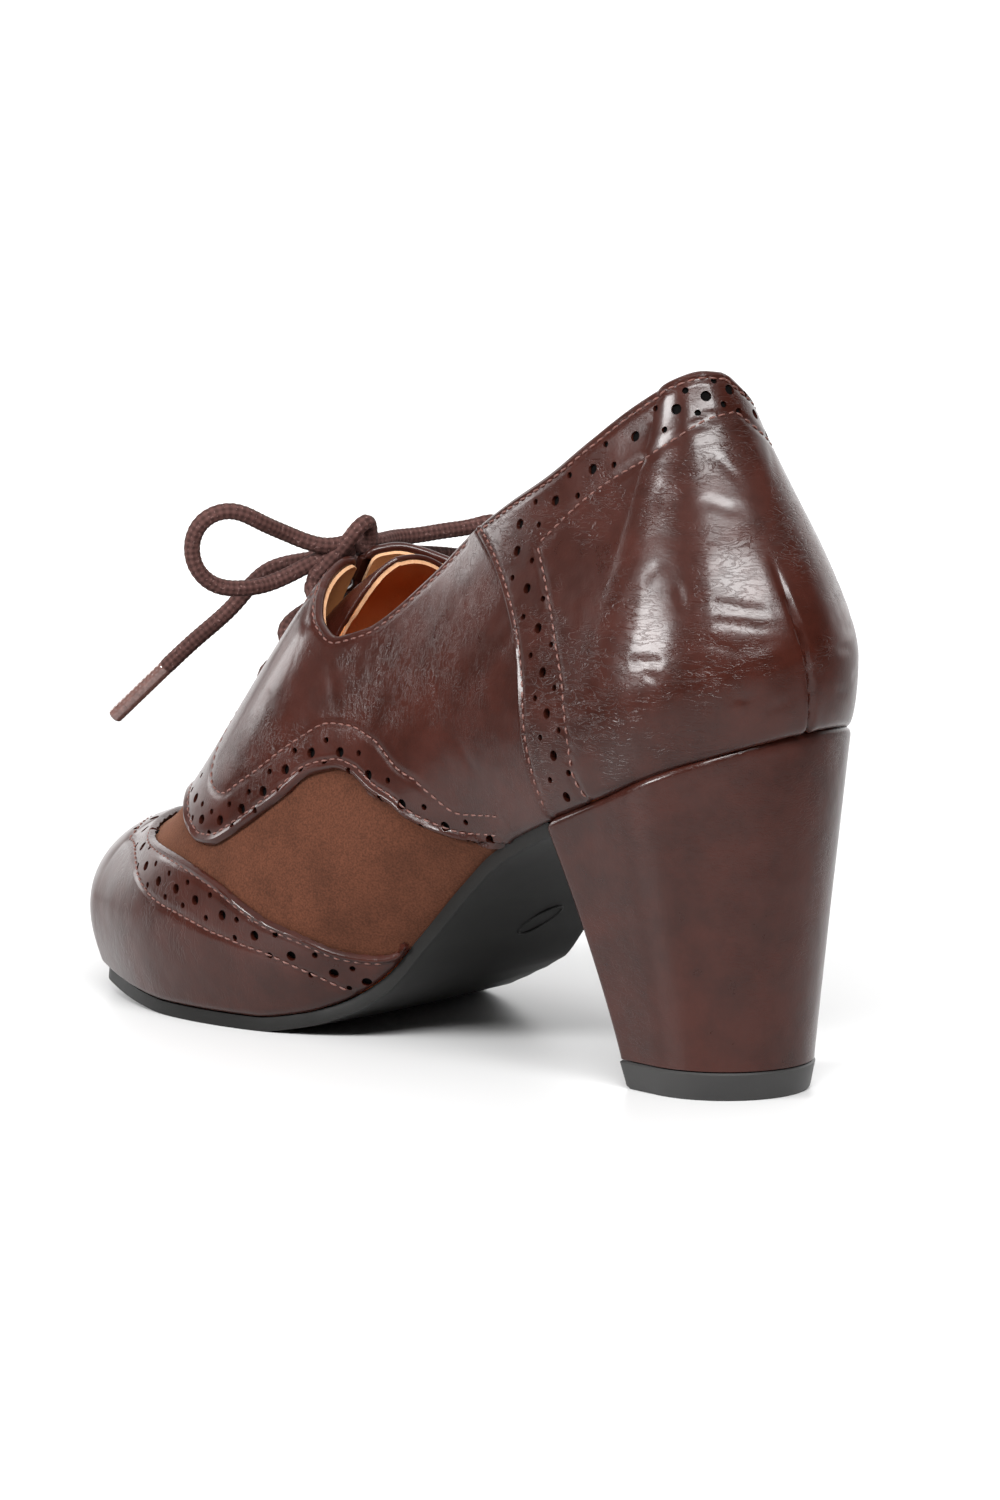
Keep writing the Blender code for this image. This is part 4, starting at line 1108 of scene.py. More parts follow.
share = crowded(COUNTER_ROWS, 0.6, 0.6)
column_share = crowded(COUNTER_COLUMNS, 0.8, 0.0)
grids = []
for side_ in (INNER, OUTER):
    top_along, top_up = counter_top(COUNTER_TOP * (1 - column_share), side_)
    low = COUNTER_FOOT * (1 - column_share)
    bowed = np.clip(1 - 1.6 * column_share, 0, 1) ** 2
    bend = spline(BOW, "back", share)
    along = low[:, None] + (top_along - low)[:, None] * share - bowed[:, None] * bend
    up = top_up[:, None] * share
    grids.append((along, up, np.full_like(along, side_)))
along, up, side = (np.concatenate([p, q[-2::-1]]) for p, q in zip(*grids))
points = wall(along, up, side)
front_lines = [(along[0], up[0], INNER), (along[-1], up[-1], OUTER)]
counter_rows, holes = [], []
for side_, column in ((OUTER, -1), (INNER, 0)):
    front_along, front_up = along[column][::-1], up[column][::-1]
    at = even(front_along, front_up, 500, side_)
    number = np.arange(len(front_along))
    front_along, front_up = np.interp(at, number, front_along), np.interp(at, number, front_up)
    counter_rows.append((*beside(front_along[6:-4], front_up[6:-4], side_, COUNTER_HEM), side_))
    collar_row = counter_top(np.linspace(0, 6.85, 900), side_)
    counter_rows.append((*beside(*collar_row, side_, COLLAR_HEM), side_))
    for rows in (COUNTER_ROW, COUNTER_DROP):
        counter_rows.append((*fitted(*trace(rows, 500), side_), side_))
    for rows, spread in ((COLLAR_HOLES, 0.0027), (FRONT_HOLES, 0.0033)):
        hole_along, hole_up = fitted(*between_rows(rows, HOLE_STEPS), side_)
        a, u, width = punch_places(hole_along, hole_up, side_, spread, HOLE_STEPS)
        inside = (a > 0.001) | (side_ == OUTER)
        holes.append((a[inside], u[inside], width[inside], side_))
edge = reach(points, [wall(*row) for row in front_lines])
rows = reach(points, [wall(*row) for row in counter_rows])
dart_up = np.linspace(0, DART_TOP, 200)
dart = reach(points, [wall(DART_REACH * dart_up / DART_TOP, dart_up, OUTER)])
dart_fade = np.clip((DART_TOP - up) / DART_FADE, 0, 1)
lift = SEAT_LIFT + (counter_height(along, up, side) - SEAT_LIFT) * rounded(edge, EDGE_ROUND)
lift = lift + pressed(edge, COUNTER_FOLD) - pressed(rows, COUNTER_SEAM)
lift = lift - (pressed(dart, DART) - pressed(dart, DART_LIPS)) * dart_fade
for side_ in (OUTER, INNER):
    lift = lift - creases(points, COUNTER_CREASES, side_, CREASE_WIDTH)
grid = skin(along, up, side, lift)
roll = rolled_over(along[:, -1], up[:, -1], side[:, -1], lift[:, -1])
grid = np.concatenate([grid, roll], 1)
depth = np.concatenate([lift - SEAT_LIFT, np.full(roll.shape[:2], ROLL_DEPTH)], 1)
counter_leather = coated_leather("crackled_leather_counter", (5.0, 5.0, 1.4), 0.5)
counter = leather_panel("counter_leather", grid, depth, counter_leather, joined=False)
punched(counter, holes, COUNTER_BACKING)
smooth(counter, 35)
finished(counter, "leather", "counter")
stitched("counter_stitches", counter_rows, counter_height)

# Tongue: leather lined with microfibre, lying under the facings. Its top edge is cut, so the cream core
# of the lining shows behind the dark leather.
TONGUE_DEPTH, TONGUE_SAG, SAG_FROM, SAG_RUN = WALL + 0.0009, 0.0041, 1.74, 0.14
TONGUE_LEATHER, TONGUE_LINING, TONGUE_EDGE = 0.0012, 0.0009, 0.0004
TONGUE_COLUMNS, TONGUE_ROWS, TONGUE_FOOT = 61, 50, 1.905
tongue_up = 1 - 0.30 * np.abs(np.linspace(-1, 1, TONGUE_COLUMNS))[:, None]
tongue_side = np.where(np.arange(TONGUE_COLUMNS) < TONGUE_COLUMNS // 2, OUTER, INNER)[:, None]
lean = np.linspace(1.603, 1.560, TONGUE_COLUMNS)


def tongue_points(top, depth):
    """Points of the tongue, ending at a place along the last for each column, at a depth below the wall."""
    along = TONGUE_FOOT + (top - TONGUE_FOOT)[:, None] * np.linspace(0, 1, TONGUE_ROWS)
    sag = TONGUE_SAG * np.clip((SAG_FROM - along) / SAG_RUN, 0, 1) ** 1.5
    sag = sag * np.linspace(1, 0, TONGUE_COLUMNS)[:, None]
    points = skin(along, tongue_up, tongue_side, -depth - sag)
    points[..., 2] -= tab_flare(along, tongue_up, tongue_side)
    return points


def bevelled(piece, width, angle):
    """Rounds the edges where faces turn by more than an angle in degrees."""
    turn = math.radians(angle)
    apply_modifier(piece, "BEVEL", width=width, segments=3, limit_method="ANGLE", angle_limit=turn)


tongue = thickened(pulled_over("tongue_leather", tongue_points(lean, TONGUE_DEPTH)), TONGUE_LEATHER)
bevelled(tongue, TONGUE_EDGE, 50)
dressed(tongue, quarter_leather, 40, "lining", "tongue")
below = TONGUE_DEPTH + TONGUE_LEATHER + 0.00003
lined(pulled_over("tongue_lining", tongue_points(lean + 0.002, below)), TONGUE_LINING)

# Insole: padded board covered with the same lining, inside the wall from heel to toe.
# It follows the seat line and stops just short of the wall.
INSOLE, INSOLE_CLEAR, INSOLE_LIFT = 0.0022, 0.0012, 0.00015


def slope_at(s, share):
    """Slope of the seat line."""
    step = 0.0005
    return (seat_at(s + step, share) - seat_at(s - step, share)) / (2 * step)


def foot_sides(along):
    """Distance from the heel and offsets of the outer and inner foot line."""
    s, y_out, _ = plan(along, np.full_like(along, OUTER), "foot")
    _, y_in, _ = plan(along, np.full_like(along, INNER), "foot")
    return s, y_out, y_in


def foot_plate(along, margin, columns, top, depth):
    """Upper and lower points of a plate along the foot, wider by a margin than the foot line."""
    s, y_out, y_in = foot_sides(along)
    middle, half = (y_out + y_in) / 2, (y_in - y_out) / 2
    back = np.where(along < 1, np.cos(np.clip(along, 0, 1) * math.pi / 2), 0.0)
    fore = np.where(along > 2, np.sin(np.clip(along - 2, 0, 1) * math.pi / 2), 0.0)
    half = half + margin * np.sqrt(1 - np.maximum(back, fore) ** 2)
    s = s + margin * (fore - back)
    share = np.linspace(-1, 1, columns)
    y = middle[:, None] + half[:, None] * share
    s = np.repeat(s[:, None], columns, 1)
    spread = share * np.sqrt(1 - back[:, None] ** 2)
    high = seat_at(s, spread) + top * np.sqrt(1 + slope_at(s, spread) ** 2)
    low = high - depth * np.sqrt(1 + slope_at(s, spread) ** 2)
    return np.stack([s, y, high], -1), np.stack([s, y, low], -1)


insole_along = np.concatenate([np.linspace(0, 1, 30), np.linspace(1, 2, 70)[1:], np.linspace(2, 3, 30)[1:]])
face, _ = foot_plate(insole_along, -WALL - INSOLE_CLEAR, 25, INSOLE + INSOLE_LIFT, INSOLE)
insole = thickened(merge_edges(pulled_over("insole_cover", face)), INSOLE * 0.8)
dressed(insole, microfibre, 40, "lining", "insole")

# Outsole: thin moulded sheet of black rubber, satin, cemented on, from the toe to the heel breast.
# A plain oval rim is moulded into the shank.
SOLE_MARGIN, TOE_TUCK, SOLE_EDGE = 0.0008, 0.0020, 0.0007
SCUFF_MM, GRIT_MM = 20.0, 0.6


def satin_rubber(name, dark, pale, gloss):
    """Black rubber with slow scuffed shading and a fine moulded grit."""
    look = new_look(name, Specular_IOR_Level=gloss)
    place = add_node(look, "TexCoord", "Object", {})
    scuff = add_node(look, "TexNoise", "Fac", {"Vector": place, "Scale": 1000 / SCUFF_MM, "Detail": 4.0})
    grit = add_node(look, "TexNoise", "Fac", {"Vector": place, "Scale": 1000 / GRIT_MM, "Detail": 2.0})
    tint = {0: scuff, 6: linear(dark), 7: linear(pale)}
    drive(look, "Base Color", add_node(look, "Mix", 2, tint, data_type="RGBA"))
    dull = add_node(look, "MapRange", "Result", {"Value": scuff, "To Min": 0.40, "To Max": 0.56})
    drive(look, "Roughness", dull)
    rough = add_node(look, "Bump", "Normal", {"Height": grit, "Strength": 0.15, "Distance": 0.0001})
    drive(look, "Normal", rough)
    return look


sole_rubber = satin_rubber("sole_rubber", "#0d0d0c", "#1c1b1a", 0.2)
sole_along = np.concatenate([np.linspace(1.095, 2, 90), np.linspace(2, 3, 40)[1:]])
margin = SOLE_MARGIN - TOE_TUCK * np.clip((sole_along - 2.0) / 0.7, 0, 1)
_, face = foot_plate(sole_along, margin, 31, -SOLE_GAP, SOLE)
outsole = thickened(merge_edges(pulled_over("rubber_sole", face[:, ::-1])), SOLE)
bevelled(outsole, SOLE_EDGE, 40)
dressed(outsole, sole_rubber, 40, "rubber", "outsole")

OVAL_AT, OVAL_HALF, OVAL_LEAN, OVAL_RIM = (0.0949, 0.0071), (0.0048, 0.0023), 119.5, 0.00035
lean = math.radians(OVAL_LEAN)
turn = np.linspace(0, 2 * math.pi, 65)
long, wide = OVAL_HALF[0] * np.cos(turn), OVAL_HALF[1] * np.sin(turn)
s = OVAL_AT[0] + long * math.cos(lean) + wide * math.sin(lean)
y = OVAL_AT[1] + long * math.sin(lean) - wide * math.cos(lean)
oval_along = 1 + (s - HEEL_AXIS) / (TOE_AXIS - HEEL_AXIS)
_, y_out, y_in = foot_sides(oval_along)
share = (2 * y - y_out - y_in) / (y_in - y_out)
under = seat_at(s, share) - (SOLE_GAP + SOLE) * np.sqrt(1 + slope_at(s, share) ** 2)
line = np.stack([s, y, under], -1)
outward = unit((line - np.array([*OVAL_AT, 0.0])) * np.array([1.0, 1.0, 0.0]))
bead = np.linspace(0, 2 * math.pi, 9)
rim = (
    line[:, None]
    + OVAL_RIM * np.cos(bead)[None, :, None] * outward[:, None]
    + OVAL_RIM * np.sin(bead)[None, :, None] * np.array([0.0, 0.0, 1.0])
)
dressed(merge_edges(pulled_over("sole_oval", rim)), sole_rubber, 60, "rubber")

# Heel block: plastic core wrapped in the same coated leather, D-shaped and tapered downwards,
# with a soft rounded edge under the heel seat.
Heel = namedtuple("Heel", "back front half arc")
HEEL_RIM = Heel(0.0034, 0.0506, 0.0287, 0.0250)
HEEL_FOOT = Heel(0.0079, 0.0384, 0.0190, 0.0190)
TOP_PIECE = 0.0060
HEEL_TAPER = 1.06
RIM_ROLL = 0.0020
CORNER = 0.0015


def heel_outline(shape, inset):
    """Closed D outline: rounded back and straight sides, with soft front corners."""
    half, arc = shape.half - inset, shape.arc - inset
    back, front = shape.back + inset, shape.front - inset
    turn = np.linspace(-math.pi / 2, math.pi / 2, 61)
    rear = np.stack([back + arc * (1 - np.cos(turn)), half * np.sin(turn)], -1)
    straight = np.linspace(back + arc, front - CORNER, 16)[1:]
    bend = np.linspace(0, math.pi / 2, 7)[1:]
    corner = np.stack([front - CORNER + CORNER * np.sin(bend), half - CORNER + CORNER * np.cos(bend)], -1)
    breast = np.linspace(half - CORNER, 0, 12)[1:]
    right = np.concatenate([
        np.stack([straight, np.full(len(straight), half)], -1),
        corner,
        np.stack([np.full(len(breast), front), breast], -1),
    ])
    left = right[:-1][::-1] * np.array([1.0, -1.0])
    return np.concatenate([rear, right, left])


def heel_between(share):
    """Outline sizes at a share of the way from the rim to the foot."""
    share = 1 - (1 - share) ** HEEL_TAPER
    return Heel(*(a + (b - a) * share for a, b in zip(HEEL_RIM, HEEL_FOOT)))


def block_of(name, rings):
    """A closed block from like outlines stacked downwards."""
    rings = np.stack(rings)
    piece = merge_edges(pulled_over(name, np.concatenate([rings, rings[:, :1]], 1)))
    bpy.ops.object.mode_set(mode="EDIT")
    bpy.ops.mesh.select_all(action="DESELECT")
    bpy.ops.mesh.select_non_manifold()
    bpy.ops.mesh.edge_face_add()
    bpy.ops.mesh.select_all(action="SELECT")
    bpy.ops.mesh.normals_make_consistent(inside=False)
    bpy.ops.object.mode_set(mode="OBJECT")
    return piece


def under_seat(outline):
    """Height just below the heel seat along an outline."""
    return seat_at(outline[:, 0], outline[:, 1] / HEEL_RIM.half) - SOLE_GAP


rings = []
for turn in np.linspace(0, math.pi / 2, 8):
    outline = heel_outline(HEEL_RIM, RIM_ROLL * (1 - math.sin(turn)))
    rings.append(np.column_stack([outline, under_seat(outline) - RIM_ROLL * (1 - math.cos(turn))]))
for share in np.linspace(0.0, 1.0, 40)[1:]:
    outline = heel_outline(heel_between(share), 0.0)
    top = under_seat(outline) - RIM_ROLL
    rings.append(np.column_stack([outline, top + (TOP_PIECE + SOLE_GAP - top) * share]))
heel_leather = coated_leather("crackled_leather_heel", (4.0, 4.0, 1.2), 0.25)
dressed(block_of("heel_cover", rings), heel_leather, 45, "leather", "heel_block")

# Heel top piece: hard black rubber slab under the heel, ground flush with the cover.
# Its lower edge is drawn in a little.
Ring = namedtuple("Ring", "inset height")
TOP_RINGS = [
    Ring(0.0002, TOP_PIECE),
    Ring(-0.0002, TOP_PIECE - 0.0004),
    Ring(0.0008, 0.0006),
    Ring(0.0013, 0.0),
]
rings = []
for ring in TOP_RINGS:
    outline = heel_outline(HEEL_FOOT, ring.inset)
    rings.append(np.column_stack([outline, np.full(len(outline), ring.height)]))
tip_rubber = satin_rubber("heel_tip_rubber", "#1c1b1b", "#302f2e", 0.5)
dressed(block_of("heel_tip", rings), tip_rubber, 35, "rubber", "heel_top_piece")

# Lace: one round braided cotton cord, waxed and matt, laced crosswise through four pairs of blind eyelets
# and tied in a bow with two loops and two free ends. Its route repeats the solids' points.
LACE = 0.0037
CROSSINGS = (1.680, 1.732, 1.780, 1.822)
CROSSING_REACH = 0.90
KNOT_AT, KNOT_LIFT, KNOT_SAG = 1.650, 0.0072, 0.0019
KNOT_SIZE, KNOT_LEAD, KNOT_CORE = 0.0108, 0.0014, 0.0016
AGLET_LENGTH, AGLET_WIDTH, AGLET_LAP, AGLET_RELIEF = 0.0175, 0.0036, 0.0014, 0.05
EYELET_BACK, EYELET_DEPTH, CROSSING_RISE, CROSSING_OVER = 0.02, 0.0006, 0.0004, 0.0014
BRAID_SIDES, BRAID_STEP, BRAID_PITCH, BRAID_END, RELIEF = 36, 0.00034, 0.0014, 0.001, 0.10
Step = namedtuple("Step", "fore side up")
LOOP_OUT = [
    Step(0.0020, -0.0095, -0.0006),
    Step(0.0036, -0.0140, 0.0009),
    Step(0.0038, -0.0220, 0.0043),
    Step(0.0058, -0.0285, 0.0068),
    Step(0.0087, -0.0328, 0.0052),
    Step(0.0120, -0.0342, -0.0006),
    Step(0.0124, -0.0325, -0.0062),
    Step(0.0113, -0.0280, -0.0100),
    Step(0.0091, -0.0215, -0.0108),
    Step(0.0085, -0.0160, -0.0102),
    Step(0.0036, -0.0088, -0.0042),
]
LOOP_IN = [
    Step(0.0010, 0.0088, -0.0004),
    Step(0.0028, 0.0150, -0.0016),
    Step(0.0030, 0.0220, -0.0015),
    Step(0.0020, 0.0290, -0.0009),
    Step(0.0002, 0.0360, -0.0001),
    Step(-0.0022, 0.0405, 0.0004),
    Step(-0.0026, 0.0428, -0.0014),
    Step(0.0000, 0.0430, -0.0048),
    Step(0.0042, 0.0415, -0.0076),
    Step(0.0070, 0.0350, -0.0073),
    Step(0.0070, 0.0260, -0.0062),
    Step(0.0068, 0.0180, -0.0055),
    Step(0.0056, 0.0100, -0.0048),
]
END_OUT = [
    Step(0.0085, -0.0045, -0.0048),
    Step(0.0173, -0.0100, -0.0088),
    Step(0.0221, -0.0150, -0.0160),
    Step(0.0286, -0.0200, -0.0234),
    Step(0.0362, -0.0240, -0.0310),
]
END_IN = [
    Step(0.0090, 0.0030, -0.0025),
    Step(0.0136, 0.013, -0.009),
    Step(0.0186, 0.020, -0.018),
    Step(0.0226, 0.025, -0.028),
]
KNOT_FACING = 50.4
Bend = namedtuple("Bend", "right near up")
KNOT_WRAP = [
    Bend(0.0000, -0.0010, -0.0010),
    Bend(-0.0039, 0.0012, -0.0034),
    Bend(-0.0012, 0.0030, 0.0004),
    Bend(0.0014, 0.0026, 0.0036),
    Bend(0.0030, 0.0008, 0.0044),
    Bend(0.0036, -0.0014, 0.0020),
    Bend(0.0032, -0.0024, -0.0010),
    Bend(0.0010, -0.0020, -0.0020),
]
KNOT_LEG = [
    Bend(-0.0010, 0.0010, -0.0010),
    Bend(-0.0040, 0.0026, -0.0024),
    Bend(-0.0064, 0.0030, -0.0050),
    Bend(-0.0084, 0.0026, -0.0076),
    Bend(-0.0080, 0.0010, -0.0110),
    Bend(-0.0075, -0.0008, -0.0126),
]

# Cotton: dark brown yarns in a round braid, with painted shade that darkens the braid's hollows and leaves
# its raised diamonds paler, and random pale flecks.
COTTON_FLECK_MM, FILM_FLECK_MM = 0.7, 0.9
cotton = new_look("braided_cotton", Roughness=0.8, Specular_IOR_Level=0.15)
braid = add_node(cotton, "Attribute", "Fac", {}, attribute_name="braid")
place = add_node(cotton, "TexCoord", "Object", {})
fleck = {"Vector": place, "Scale": 1000 / COTTON_FLECK_MM, "Detail": 2.0}
fleck = add_node(cotton, "TexNoise", "Fac", fleck)
# Painted shade: the braid attribute darkens the yarn in the braid's hollows and leaves it paler on the
# raised diamonds.
yarn_and_hollow_shade = {0: braid, 6: linear("#2c1a17"), 7: linear("#553a36")}
yarn_and_hollow_shade = add_node(cotton, "Mix", 2, yarn_and_hollow_shade, data_type="RGBA")
pale_flecks = add_node(cotton, "MapRange", "Result", {"Value": fleck, "From Min": 0.60, "From Max": 0.80})
tint = {0: pale_flecks, 6: yarn_and_hollow_shade, 7: linear("#7c605c")}
drive(cotton, "Base Color", add_node(cotton, "Mix", 2, tint, data_type="RGBA"))
rough = {"Height": fleck, "Strength": 0.3, "Distance": 0.0002}
drive(cotton, "Normal", add_node(cotton, "Bump", "Normal", rough))

# Lace tip: clear film shrunk over the braid.
film = new_look("clear_film_tip", Roughness=0.2, Coat_Weight=0.6, Coat_Roughness=0.08)
place = add_node(film, "TexCoord", "Object", {})
fleck = add_node(film, "TexNoise", "Fac", {"Vector": place, "Scale": 1000 / FILM_FLECK_MM, "Detail": 2.0})
tint = {0: fleck, 6: linear("#3a2420"), 7: linear("#7a5c56")}
drive(film, "Base Color", add_node(film, "Mix", 2, tint, data_type="RGBA"))
Knot = namedtuple("Knot", "at s y z")


def smooth_path(points, step=BRAID_STEP):
    """Cubic through points, evenly stepped."""
    points = np.asarray(points, float)
    total = run_length(points)
    rows = [Knot(t, *p) for t, p in zip(total, points)]
    at = np.linspace(0, total[-1], max(8, round(total[-1] / step)))
    return np.stack([spline(rows, axis, at) for axis in ("s", "y", "z")], -1)


def braided(name, path, width=LACE, look=cotton, relief=RELIEF):
    """Mesh tube along a path in shoe distances, with the raised diamonds of a round braid."""
    path = to_frame(path)
    forward = unit(np.gradient(path, axis=0))
    across = np.cross(forward[0], (0.0, 0.0, 1.0))
    total = run_length(path)
    turn = np.arange(BRAID_SIDES) * 2 * math.pi / BRAID_SIDES
    rings, hollow_shade = [], []
    for point, f, at in zip(path, forward, total):
        across = unit(across - f * (across @ f))
        rise = np.cross(f, across)
        run = at / BRAID_PITCH * math.pi
        diamond = np.cos(4 * turn + run) * np.cos(4 * turn - run)
        end = rounded(at, BRAID_END) * rounded(total[-1] - at, BRAID_END)
        radius = width / 2 * (1 - relief / 2 + relief / 2 * diamond) * (0.25 + 0.75 * end)
        outward = np.cos(turn)[:, None] * across + np.sin(turn)[:, None] * rise
        rings.append(point + radius[:, None] * outward)
        # The braid attribute is painted shade for the lace: low in the braid's hollows, high on its raised
        # diamonds.
        hollow_shade.append(diamond / 2 + 0.5)
    ring = np.arange(BRAID_SIDES)
    faces = tube_faces(BRAID_SIDES, len(rings))[:, [0, 3, 2, 1]].tolist()
    faces += [ring.tolist(), (ring[::-1] + (len(rings) - 1) * BRAID_SIDES).tolist()]
    piece = mesh_of(name, np.array(rings), faces)
    made = piece.data.attributes.new("braid", "FLOAT", "POINT")
    made.data.foreach_set("value", np.concatenate(hollow_shade).astype(np.float32))
    piece.data.materials.append(look)
    smooth(piece, 70)
    return piece, path, total[-1]


def off_knot(step):
    """Two points of a strand that leaves the knot: inside it and just outside."""
    way = np.array(step) / np.linalg.norm(step)
    return [lump + distance * way for distance in (KNOT_CORE, KNOT_SIZE / 2 + SOLE_GAP + KNOT_LEAD)]


def bow_path(steps, closed):
    """Path of one loop (closed) or end, from steps off the knot."""
    middle = [knot + np.array(step) for step in (steps[1:-1] if closed else steps[1:])]
    back = off_knot(steps[-1])[::-1] if closed else []
    return smooth_path(off_knot(steps[0]) + middle + back)


def knot_path(rows):
    """Path of a strand of the knot, from bends to the right, nearer and up as the photo shows it."""
    facing = math.radians(KNOT_FACING)
    to_right = np.array([-math.cos(facing), math.sin(facing), 0.0])
    nearer = np.array([-math.sin(facing), -math.cos(facing), 0.0])
    rise = np.array([0.0, 0.0, 1.0])
    return smooth_path([lump + r.right * to_right + r.near * nearer + r.up * rise for r in rows])


knot = skin(KNOT_AT, 1.0, OUTER, KNOT_LIFT)
lump = skin(KNOT_AT, 1.0, OUTER, KNOT_LIFT - KNOT_SAG)
lace_knot, _, _ = braided("knot_braid", knot_path(KNOT_WRAP))
finished(lace_knot, "cotton", "lace_knot")
leg_path = knot_path(KNOT_LEG)
for name, mirror in (("knot_leg_outer", 1.0), ("knot_leg_inner", -1.0)):
    leg, _, _ = braided(name, lump + (leg_path - lump) * np.array([1.0, mirror, 1.0]))
    finished(leg, "cotton")
for name, steps in (("lace_loop_outer", LOOP_OUT), ("lace_loop_inner", LOOP_IN)):
    loop, path, length = braided(name + "_braid", bow_path(steps, True))
    finished(loop, "cotton", name)
for name, steps in (("outer", END_OUT), ("inner", END_IN)):
    route = bow_path(steps, False)
    end, path, length = braided("lace_end_" + name + "_braid", route)
    finished(end, "cotton", "lace_end_" + name)
    way = unit(route[-1] - route[-2])
    tip_path = route[-1] + way * np.linspace(-AGLET_LAP, AGLET_LENGTH, 60)[:, None]
    tip, _, _ = braided("lace_tip_" + name + "_film", tip_path, AGLET_WIDTH, film, AGLET_RELIEF)
    finished(tip, "clear_tip", "lace_tip_" + name)


def crossing_path(along, onward, side, over):
    """Lace run out of an eyelet, over the throat and into the next eyelet of the other side."""
    lift = QUARTER_DEPTH + LACE / 2 + over
    return smooth_path([
        skin(along, CROSSING_REACH - EYELET_BACK, side, -EYELET_DEPTH),
        skin(along, CROSSING_REACH, side, lift),
        skin((along + onward) / 2, 1.0, OUTER, lift + CROSSING_RISE),
        skin(onward, CROSSING_REACH, -side, lift),
        skin(onward, CROSSING_REACH - EYELET_BACK, -side, -EYELET_DEPTH),
    ])


for number, (along, onward) in enumerate(zip(CROSSINGS, CROSSINGS[1:])):
    for name, side_, over in (("lower", OUTER, 0.0), ("upper", INNER, CROSSING_OVER)):
        route = crossing_path(along, onward, side_, over)
        run, _, _ = braided(f"lace_crossing_{number + 1}_{name}", route)
        finished(run, "cotton", *(["lace_crossings"] if number == 0 and name == "lower" else []))

# Studio: pale seamless floor whose part behind the shoe glows with painted backdrop light, soft white
# surroundings, two wide soft windows that show on the counter and a dim one that gives the quarter its
# sheen.
CAMERA_TURN, CAMERA_RISE, CAMERA_REACH, CAMERA_LENS = 50.4, 7.8, 1.400, 154.63
CAMERA_AIM = Vector((-0.0007, 0.00235, 0.060))
CAMERA_SHIFT = (0.0064, 0.0018)
bpy.ops.object.select_all(action="DESELECT")
bpy.ops.mesh.primitive_plane_add(size=60.0)
floor = bpy.context.object
floor.name = "floor"
paper = new_look("white_board", Roughness=0.4, Specular_IOR_Level=0.2)
place = add_node(paper, "TexCoord", "Object", {})
turn = math.radians(CAMERA_TURN)
ahead = {0: place, 1: (math.sin(turn), -math.cos(turn), 0.0)}
ahead = add_node(paper, "VectorMath", "Value", ahead, operation="DOT_PRODUCT")
aside = {0: place, 1: (math.cos(turn), math.sin(turn), 0.0)}
aside = add_node(paper, "VectorMath", "Value", aside, operation="DOT_PRODUCT")
out = add_node(paper, "Math", "Value", {0: aside}, operation="ABSOLUTE")
wider = add_node(paper, "Math", "Value", {0: ahead, 1: 0.14, 2: out}, operation="MULTIPLY_ADD")
near = add_node(paper, "MapRange", "Result", {"Value": ahead, "From Min": 0.45, "From Max": 0.75})
beyond = add_node(paper, "MapRange", "Result", {"Value": wider, "From Min": 0.22, "From Max": 0.50})
fade = add_node(paper, "Math", "Value", {0: near, 1: beyond}, operation="MAXIMUM")
tint = {0: fade, 6: linear("#c8c8c8"), 7: linear("#646464")}
drive(paper, "Base Color", add_node(paper, "Mix", 2, tint, data_type="RGBA"))
# Painted light: the floor glows behind the shoe, standing in for a lamp on the backdrop.
painted_backdrop_light = {"Value": ahead, "From Min": -0.9, "From Max": -0.25, "To Min": 0.6, "To Max": 0.0}
drive(paper, "Emission Strength", add_node(paper, "MapRange", "Result", painted_backdrop_light))
floor.data.materials.append(paper)


def towards(turn, rise):
    """Unit vector at a turn round the shoe and a rise above the floor, in degrees."""
    a, e = math.radians(turn), math.radians(rise)
    return Vector((math.sin(a) * math.cos(e), -math.cos(a) * math.cos(e), math.sin(e)))


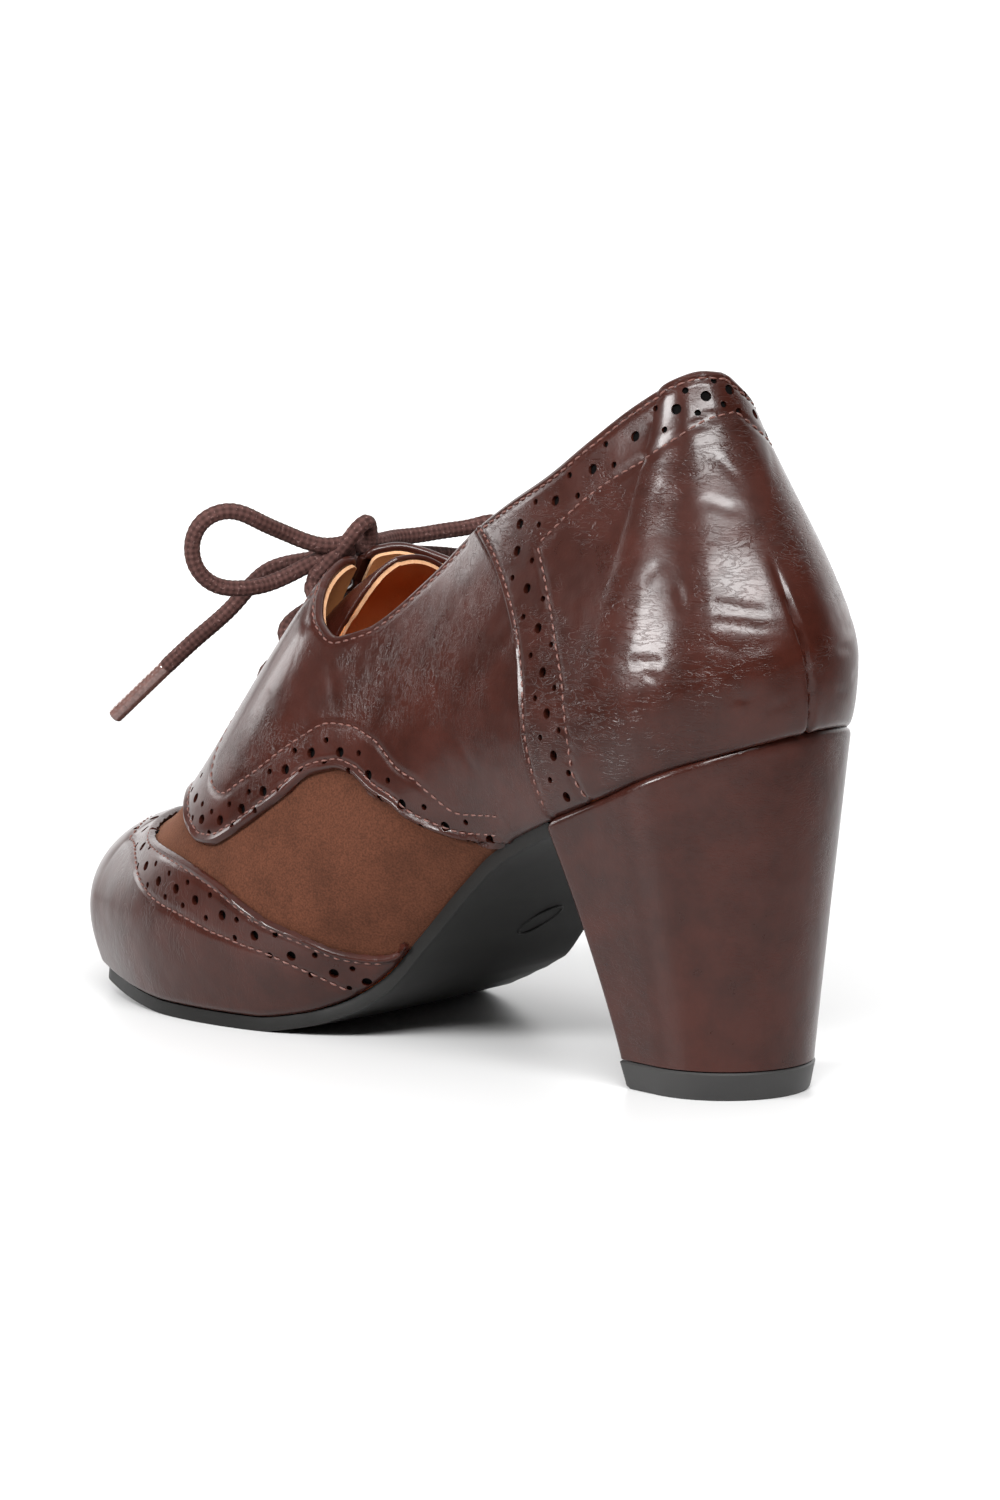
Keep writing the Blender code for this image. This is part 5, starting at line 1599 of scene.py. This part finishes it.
Window = namedtuple("Window", "name turn rise reach width height power")
WINDOWS = [
    Window("window_left", -15.0, 23.0, 1.3, 0.56, 0.25, 18.0),
    Window("window_right", 62.0, 44.0, 1.3, 1.05, 0.26, 30.0),
    Window("window_side", -76.0, 14.0, 1.3, 0.38, 0.22, 1.8),
]
for window in WINDOWS:
    bpy.ops.object.light_add(type="AREA")
    lamp = bpy.context.object
    lamp.name = window.name
    lamp.data.shape = "RECTANGLE"
    lamp.data.size, lamp.data.size_y = window.width, window.height
    lamp.data.energy = window.power
    lamp.location = towards(window.turn, window.rise) * window.reach + Vector((0.06, -0.02, 0.09))
    lamp.rotation_euler = (-towards(window.turn, window.rise)).to_track_quat("-Z", "Y").to_euler()

world = bpy.context.scene.world or bpy.data.worlds.new("studio")
bpy.context.scene.world = world
world.use_nodes = True
sky = world.node_tree.nodes["Background"]
spot = add_node(world, "TexCoord", "Generated", {})
facing = {0: spot, 1: tuple(towards(44.0, 8.0))}
facing = add_node(world, "VectorMath", "Value", facing, operation="DOT_PRODUCT")
glow = {"Value": facing, "From Min": -0.70, "From Max": -0.25, "To Min": 1.9, "To Max": 0.03}
glow = add_node(world, "MapRange", "Result", glow)
height = add_node(world, "SeparateXYZ", "Z", {"Vector": spot})
ceiling = {"Value": height, "From Min": 0.55, "From Max": 0.95, "To Max": 0.9}
ceiling = add_node(world, "MapRange", "Result", ceiling)
whole = add_node(world, "Math", "Value", {0: glow, 1: ceiling}, operation="ADD")
world.node_tree.links.new(whole, sky.inputs["Strength"])
sky.inputs["Color"].default_value = (1.0, 1.0, 1.0, 1.0)

back = towards(CAMERA_TURN, CAMERA_RISE)
right = Vector((math.cos(math.radians(CAMERA_TURN)), math.sin(math.radians(CAMERA_TURN)), 0.0))
aim = CAMERA_AIM + right * CAMERA_SHIFT[0] + back.cross(right) * CAMERA_SHIFT[1]
bpy.ops.object.camera_add(location=aim + back * CAMERA_REACH)
camera = bpy.context.object
camera.rotation_euler = (-back).to_track_quat("-Z", "Y").to_euler()
camera.data.lens = CAMERA_LENS
camera.data.sensor_width = 36.0
camera.data.clip_start, camera.data.clip_end = 0.05, 20.0
bpy.context.scene.camera = camera
bpy.context.scene.view_settings.view_transform = "Standard"
